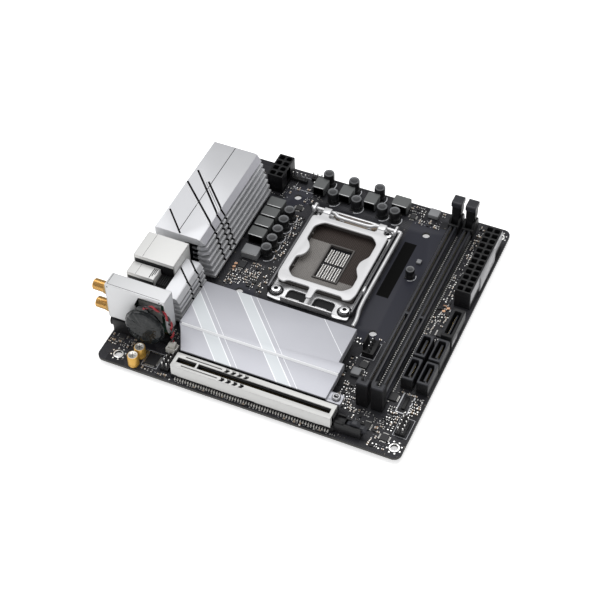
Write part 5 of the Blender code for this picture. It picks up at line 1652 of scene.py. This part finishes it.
AUDIO_CANS = ((-63.3, -75.5), (-64, -81.8))
for number, (x, y) in enumerate(AUDIO_CANS, 1):
    gold_can = Piece(f"audio_capacitor_can_{number}")
    gold_can.turned((x, y, 0), [(0, 0.3), (2.9, 0.3), (3, 0.5), (3, 1.6), (2.78, 1.9), (2.78, 2.2),
        (3, 2.5), (3, 7), (2.8, 7.45), (2.5, 7.5)], gold_sleeve_finish, sides=48)
    gold_can.turned((x, y, 0), [(2.62, 7.45), (2.5, 7.62), (2, 7.62), (1.8, 7.5), (0, 7.5)],
                    gold_top_finish, sides=48)
    # The three dark strokes on each top are the vent scores, laid as painted shade.
    for turn in (0, 60, 120):
        a = radians(turn)
        stroke = [(x + reach * cos(a + lean), y + reach * sin(a + lean)) for reach, lean in (
            (1.9, 0.06), (-1.9, -0.06), (-1.9, 0.06), (1.9, -0.06))]
        gold_can.plate([stroke], 7.5, 7.53, recess_shade_finish, edge=0)
    gold_can.finished(f"audio_capacitor_{number}")


# Printed marks
# White and black screen-printed marks on the mask: arcs at the cans, outlines round headers
# and a plain black panel beside the memory slots.

marks = Piece("printed_marks")
arc = Piece("arc")
inner, outer = [], []
ARC_OUTER, ARC_INNER, ARC_STEPS = 1.42, 1.26, 17
for i in range(ARC_STEPS):
    a = radians(-95 + i * 8)
    outer.append((ARC_OUTER * cos(a), ARC_OUTER * sin(a)))
    inner.append((ARC_INNER * cos(a), ARC_INNER * sin(a)))
arc.plate([outer + inner[::-1]], 0, 0.02, ink_finish, edge=0)
parts_at(marks, arc, [(x, y, 0.004, 0, (r, r, 1)) for x, y, r, h in POLYMER])
black_ink = plain_finish("black_ink", (0.002, 0.002, 0.002), 0.6, depth=0.003,
    Specular_IOR_Level=0.05)
marks.plate([rectangle((33.2, 40.2), (12, 55))], 0, 0.02, black_ink, edge=0)
PRINTED_BOXES = (((72.5, 78), (-57, -45), 0.6), ((42, 49.4), (-30.8, -19.4), 0.2),
                 ((-40.6, -26), (70.2, 80.4), 0.2), ((-60.6, -52), (-80.2, -70.2), 0.2),
                 ((76.4, 83.6), (-71.6, -59.4), 0.2))
for x, y, pen in PRINTED_BOXES:
    marks.plate([rectangle(inset(x, -pen), inset(y, -pen)), rectangle(x, y)], 0, 0.02,
                ink_finish, edge=0)
marks.finished()


# Small headers and chips
# Pin headers on black strips, flat resin packages with rows of tinned legs, and a few small
# grey inductors, all soldered to the board between the larger parts.

minor = Piece("headers_and_chips")


LEG_OUT, LEG_Z = 0.4, 0.02


def chip(x, y, top, legs, pitch=0.65):
    """A flat package centred in its range, with legs along its two long sides or all four."""
    minor.block(x, y, (0.15, top), chip_finish, edge=0.12, steps=1)
    leg = small_block((-0.14, 0.14), (-0.5, 0.5), (0, 0.3), lead_finish, 0.05)
    turned_leg = small_block((-0.5, 0.5), (-0.14, 0.14), (0, 0.3), lead_finish, 0.05)
    count_x, count_y = (int((span[1] - span[0] - 0.6) / pitch) for span in (x, y))
    if legs in ("x", "all"):
        first = (x[0] + x[1]) / 2 - (count_x - 1) * pitch / 2
        for side in inset(y, -LEG_OUT):
            rows_of(minor, leg, (first, side, LEG_Z), (pitch, 0, 0), count_x)
    if legs in ("y", "all"):
        first = (y[0] + y[1]) / 2 - (count_y - 1) * pitch / 2
        for side in inset(x, -LEG_OUT):
            rows_of(minor, turned_leg, (side, first, LEG_Z), (0, pitch, 0), count_y)


for facts in (
        ((-59.4, -53), (-79, -71.6), 1.1, "all", 0.5), ((-44.6, -40.2), (1.6, 6.4), 0.9, "x"),
        ((66, 70.2), (-52, -47), 1, "y"), ((-33.4, -29.6), (54.2, 58), 0.9, "all"),
        ((-58, -54), (63, 67), 0.9, "y"), ((28.6, 32), (72.6, 76.4), 0.9, "all"),
        ((-80.4, -76), (-68.6, -64), 0.9, "all"), ((73.2, 77.2), (-3, 2), 0.9, "y"),
        ((60.4, 64.4), (-74, -69.4), 0.9, "all"), ((44.2, 48.4), (-38.2, -33.6), 1, "x"),
        ((71.2, 75.6), (-77.2, -73), 0.9, "all")):
    chip(*facts)
# The second entry, a thin strip on the first inductor's near top edge, is a painted highlight.
for x, y, z, finish, edge in (
        ((-45.5, -36), (9, 16), (0.3, 5), grey_choke_finish, 0.4),
        ((-45.2, -36.3), (8.96, 9.2), (3.9, 4.7), lip_highlight_finish, 0.08),
        ((42.2, 47), (-45, -40.2), (0.2, 2.6), grey_choke_finish, 0.3),
        ((38, 44), (77.2, 83), (0.2, 2.8), grey_choke_finish, 0.35),
        ((44.8, 47.4), (41.6, 44.4), (0.2, 1.4), grey_choke_finish, 0.2),
        ((74.3, 76.2), (-55, -47), (0.1, 1), black_finish, 0.2)):
    minor.block(x, y, z, finish, edge)

HEADERS = (((-44.2, 76.5), (1, 0), 4, 6.4), ((78.6, -70.4), (0, 1), 5, 6),
           ((81.1, -70.4), (0, 1), 4, 6), ((-48.6, -79), (0, 1), 4, 6),
           ((-46.1, -79), (0, 1), 5, 6), ((-33, 80.4), (1, 0), 3, 6.4),
           ((-29.4, 73.2), (0, 1), 1, 6.4))
STRIP_HALF, PIN_HALF = 1.2, 0.32
for (x, y), (along_x, along_y), count, tall in HEADERS:
    last = PIN_GRID * (count - 1)
    minor.block((x - STRIP_HALF, x + STRIP_HALF + along_x * last),
                (y - STRIP_HALF, y + STRIP_HALF + along_y * last), (0.1, 2.3), black_finish,
                edge=0.2)
    for i in range(count):
        minor.block(around(x + along_x * PIN_GRID * i, PIN_HALF),
                    around(y + along_y * PIN_GRID * i, PIN_HALF), (2, tall), tin_finish, edge=0.12)
pin = small_block((-0.22, 0.22), (-1.1, 1.1), (0, 0.5), gold_finish, 0.08)
rows_of(minor, pin, (-65.6, -72.2, 0.05), (0.9, 0, 0), 14)
minor.finished()


# Surface parts
# Hundreds of ceramic capacitors and resistors, a millimetre or two long, with tinned ends.
# They crowd between the larger parts, mostly square to the board's edges.

random.seed(17)
copper_finish = plain_finish("bare_copper", (0.60, 0.36, 0.23), 0.34, 0.6, grain=0.3)
resistor_finish = plain_finish("resistor_glaze", (0.018, 0.018, 0.02), 0.3)
CLUSTERS = (((-47, -30), (-12, 8), 0.80), ((-30.5, -24.5), (12, 50), 0.5),
            ((27, 47), (70, 83.5), 0.5), ((66.8, 72.8), (-8, 44), 0.72),
            ((73, 76.8), (-9, 19), 0.72), ((37.8, 50), (-47, -31.5), 0.68),
            ((66.5, 83.5), (-83, -44), 0.68), ((50.5, 66), (-83.5, -63), 0.6),
            ((-84, -70), (-74, -57), 0.6), ((-52.5, -43), (-83.5, -69), 0.66),
            ((-60, -52.6), (-83.6, -81), 0.7), ((-45, 50), (-84.2, -83.1), 0.5),
            ((-46, -24), (60.5, 72), 0.36), ((-60, -46.5), (60, 62.6), 0.6),
            ((-30, 30), (-23.6, -15), 0.32), ((68, 73.6), (44, 82), 0.45),
            ((30, 42), (-24, -19), 0.5), ((-70, -50), (-57.5, -51.8), 0.5),
            ((-28, -24), (-12, 10), 0.45), ((46.4, 51), (-24, -16), 0.3),
            ((41, 51), (-66, -48.5), 0.6))
KEEP_OUT = [((-60.6, -51.6), (-80.2, -70.4)), ((-45.4, -39.4), (0.6, 7.4)),
            ((65.2, 71), (-52.8, -46.2)), ((-34.4, -28.6), (53.2, 59)),
            ((27.8, 32.8), (71.8, 77.2)), ((-81.4, -75), (-69.6, -63)), ((72.2, 78.2), (-3.8, 2.8)),
            ((59.4, 65.4), (-75, -68.4)), ((43.4, 49.2), (-39.4, -32.4)),
            ((70.2, 76.6), (-78.2, -72)), ((-46, -35.6), (8.6, 16.4)),
            ((41.6, 47.6), (-45.6, -39.6)), ((37.4, 44.6), (76.6, 83.6)),
            ((73.6, 76.8), (-55.6, -46.4)), ((-46.2, -30), (74, 82)),
            ((76.6, 83.2), (-72.6, -58.4)), ((-50.4, -44.4), (-81, -67)),
            ((-30.9, -28), (71.6, 75)), ((51.6, 67), (-62.4, 83)), ((54, 65.6), (-82.2, -74.6)),
            ((-52.8, -46), (-68.6, -63.2)), ((68.6, 76), (-42.4, -10.2)),
            ((41.8, 49.4), (-30.8, -19.4)), ((-62.4, -48.4), (-50.4, -23)),
            ((-66.4, -52.8), (-74, -70.4)), ((-86, -72.2), (-66.4, -45.6))]
KEEP_AWAY = ([(x, y, r + 1.1) for x, y, r, h in POLYMER] + [(x, y, 5.4) for x, y in CASE_HOLES]
             + [(x, y, 5.2) for x, y in COOLER_HOLES] + [(x, y, 3.8) for x, y in AUDIO_CANS])


def free_spot(x, y, taken):
    if abs(x) > 83.4 or abs(y) > 84.1:
        return False
    if any(a[0] - 0.9 < x < a[1] + 0.9 and b[0] - 0.9 < y < b[1] + 0.9 for a, b in KEEP_OUT):
        return False
    if any((x - a) ** 2 + (y - b) ** 2 < r * r for a, b, r in KEEP_AWAY):
        return False
    return all((x - a) ** 2 + (y - b) ** 2 > 2.2 for a, b in taken[-60:])


CROWD_PITCH, JITTER, PART_Z = 1.75, 0.16, 0.02
kinds = {"ceramic": [], "resistor": [], "ends": [], "chip": [], "mark": [], "via": [], "copper": []}
taken = []
for (x0, x1), (y0, y1), crowd in CLUSTERS:
    columns, rows = (max(1, int(span / CROWD_PITCH)) for span in (x1 - x0, y1 - y0))
    lean = random.random() < 0.5
    for i in range(columns):
        for j in range(rows):
            x = x0 + (i + 0.5 + random.uniform(-JITTER, JITTER)) * (x1 - x0) / columns
            y = y0 + (j + 0.5 + random.uniform(-JITTER, JITTER)) * (y1 - y0) / rows
            roll = random.random()
            turn = pi / 2 if (random.random() < 0.7) == lean else 0
            if not free_spot(x, y, taken):
                continue
            if roll > crowd:
                if roll < crowd + 0.16:
                    kinds["mark"].append((x, y, 0.004, turn, (random.uniform(0.5, 1.3), 1, 1)))
                elif roll < crowd + 0.34:
                    kinds["via"].append((x, y, 0, 0, (1, 1, 1)))
                continue
            taken.append((x, y))
            size = random.choice((0.85, 0.85, 1, 1, 1.25))
            kind, tall, end_tall = "resistor", 0.6, 0.64
            if roll < crowd * 0.42:
                kind, tall, end_tall = "ceramic", 1, 1
            sizes = (size, size, size * tall)
            if roll >= crowd * 0.86:
                kind, sizes = "chip", (random.uniform(0.8, 1.3), random.uniform(0.7, 1), 1)
            kinds[kind].append((x, y, PART_Z, turn, sizes))
            kinds["ends"].append((x, y, PART_Z, turn, (size, size, size * end_tall)))
for x, y in ((-46, 1), (-46, 3.4), (-45.6, -1.6), (71, 15), (72.6, 17.6), (70.4, 18.6),
             (67.4, -71)):
    kinds["copper"].append((x, y, 0.03, 0.4, (1, 1, 1)))

small = Piece("surface_parts")
shapes = {
    "ceramic": small_block((-0.45, 0.45), (-0.36, 0.36), (0, 0.7), ceramic_finish, 0.05),
    "resistor": small_block((-0.45, 0.45), (-0.36, 0.36), (0, 0.66), resistor_finish, 0.04),
    "chip": small_block((-0.75, 0.75), (-0.6, 0.6), (0, 0.8), chip_finish, 0.06),
    "mark": small_block((-0.5, 0.5), (-0.07, 0.07), (0, 0.02), ink_finish),
    "copper": small_block((-0.9, 0.9), (-0.7, 0.7), (0, 0.5), copper_finish, 0.1)}
ends = Piece("ends")
for side in (-1, 1):
    low, high = sorted((side * 0.42, side * 0.80))
    ends.block((low, high), (-0.39, 0.39), (0, 0.74), end_cap_finish, edge=0.06, steps=1)
shapes["ends"] = ends
via = Piece("via")
via.turned((0, 0, 0), [(0.42, 0), (0.40, 0.03), (0.2, 0.03), (0.16, 0.01), (0, 0.01)], tin_finish,
           sides=12)
shapes["via"] = via
for kind, shape in shapes.items():
    parts_at(small, shape, kinds[kind])
small.finished()


# Solder side
# Under the board the through-hole legs end in small domes of solder, clipped short, in rows
# below the slots, the power housings and the rear port stacks.

UNDER_Z, POWER_PITCH, CHIPS_BELOW = -LAMINATE, 4.2, 170
joints = []
for x in (52.7, 57.7, 60.9, 65.9):
    joints += [(x + 0.4 * (i % 2), -58.0 + 1.7 * i) for i in range(80)]
joints += [(-39.5 + 2.0 * i, SLOT_Y + s) for i in range(44) for s in (-2.6, -0.9, 0.9, 2.6)]
joints += [(76.7 + POWER_PITCH * i, 23.4 + POWER_PITCH * j) for i in range(2) for j in range(12)]
joints += [(-51.7 + POWER_PITCH * i, 65.6 + POWER_PITCH * j) for i in range(2) for j in range(4)]
joints += [(x + d, y - 4.4 + PIN_GRID / 2 * i) for x, y in DRIVE_PORTS for i in range(8)
           for d in (-1.2, 1.2)]
joints += [(-70.0 + 2.0 * i, y) for i in range(4) for y in (-32, -30, -27, -24, -21, -19, 38, 41,
    44, 47, 50, 52, 10, 13, 16, 19, 21)]
joints += [(46.0, -28.9 + PIN_GRID * i) for i in range(4)] + [(-44.2 + PIN_GRID * i, 76.5)
    for i in range(4)]
joints += [(-78 + 3 * i, y) for i in range(3) for y in (-64, -60, -53, -49)]
drop = Piece("solder_dome")
drop.turned((0, 0, 0), [(0, -1.25), (0.3, -1.25), (0.36, -1), (0.5, -0.5), (0.85, 0), (0, 0)],
            solder_finish, sides=12)
under = Piece("solder_side")
parts_at(under, drop, [(x, y, UNDER_Z, 0, (0.8, 0.8, 1)) for x, y in joints])
post = Piece("shield_tab")
post.turned((0, 0, 0), [(0, -2.1), (0.7, -2.1), (0.95, -1.2), (1.5, 0), (0, 0)], solder_finish,
            sides=16)
tabs = [(-83, -34), (-83, -17), (-70, -34), (-70, -17), (-83, 37), (-83, 53), (-70, 37), (-70, 53),
        (-83, 8.6), (-83, 22), (-60, 60), (-56, -10), (-40, -82), (47, -82)]
parts_at(under, post, [(x, y, UNDER_Z, 0, (1, 1, 1)) for x, y in tabs])
chips_below = [(x, y, UNDER_Z - 0.6, random.choice((0.0, pi / 2)), (1, 1, 0.9)) for x, y in (
    (random.uniform(-60, 46), random.uniform(-70, 80)) for _ in range(CHIPS_BELOW))
    if not (-35.5 < x < 40.5 and -16.5 < y < 64.5)]
parts_at(under, shapes["ceramic"], chips_below)
parts_at(under, ends, chips_below)
under.finished()


sizes = {"cad_box": [list(corner) for corner in CAD_BOX], "visual_box": [list(corner)
    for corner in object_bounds()]}
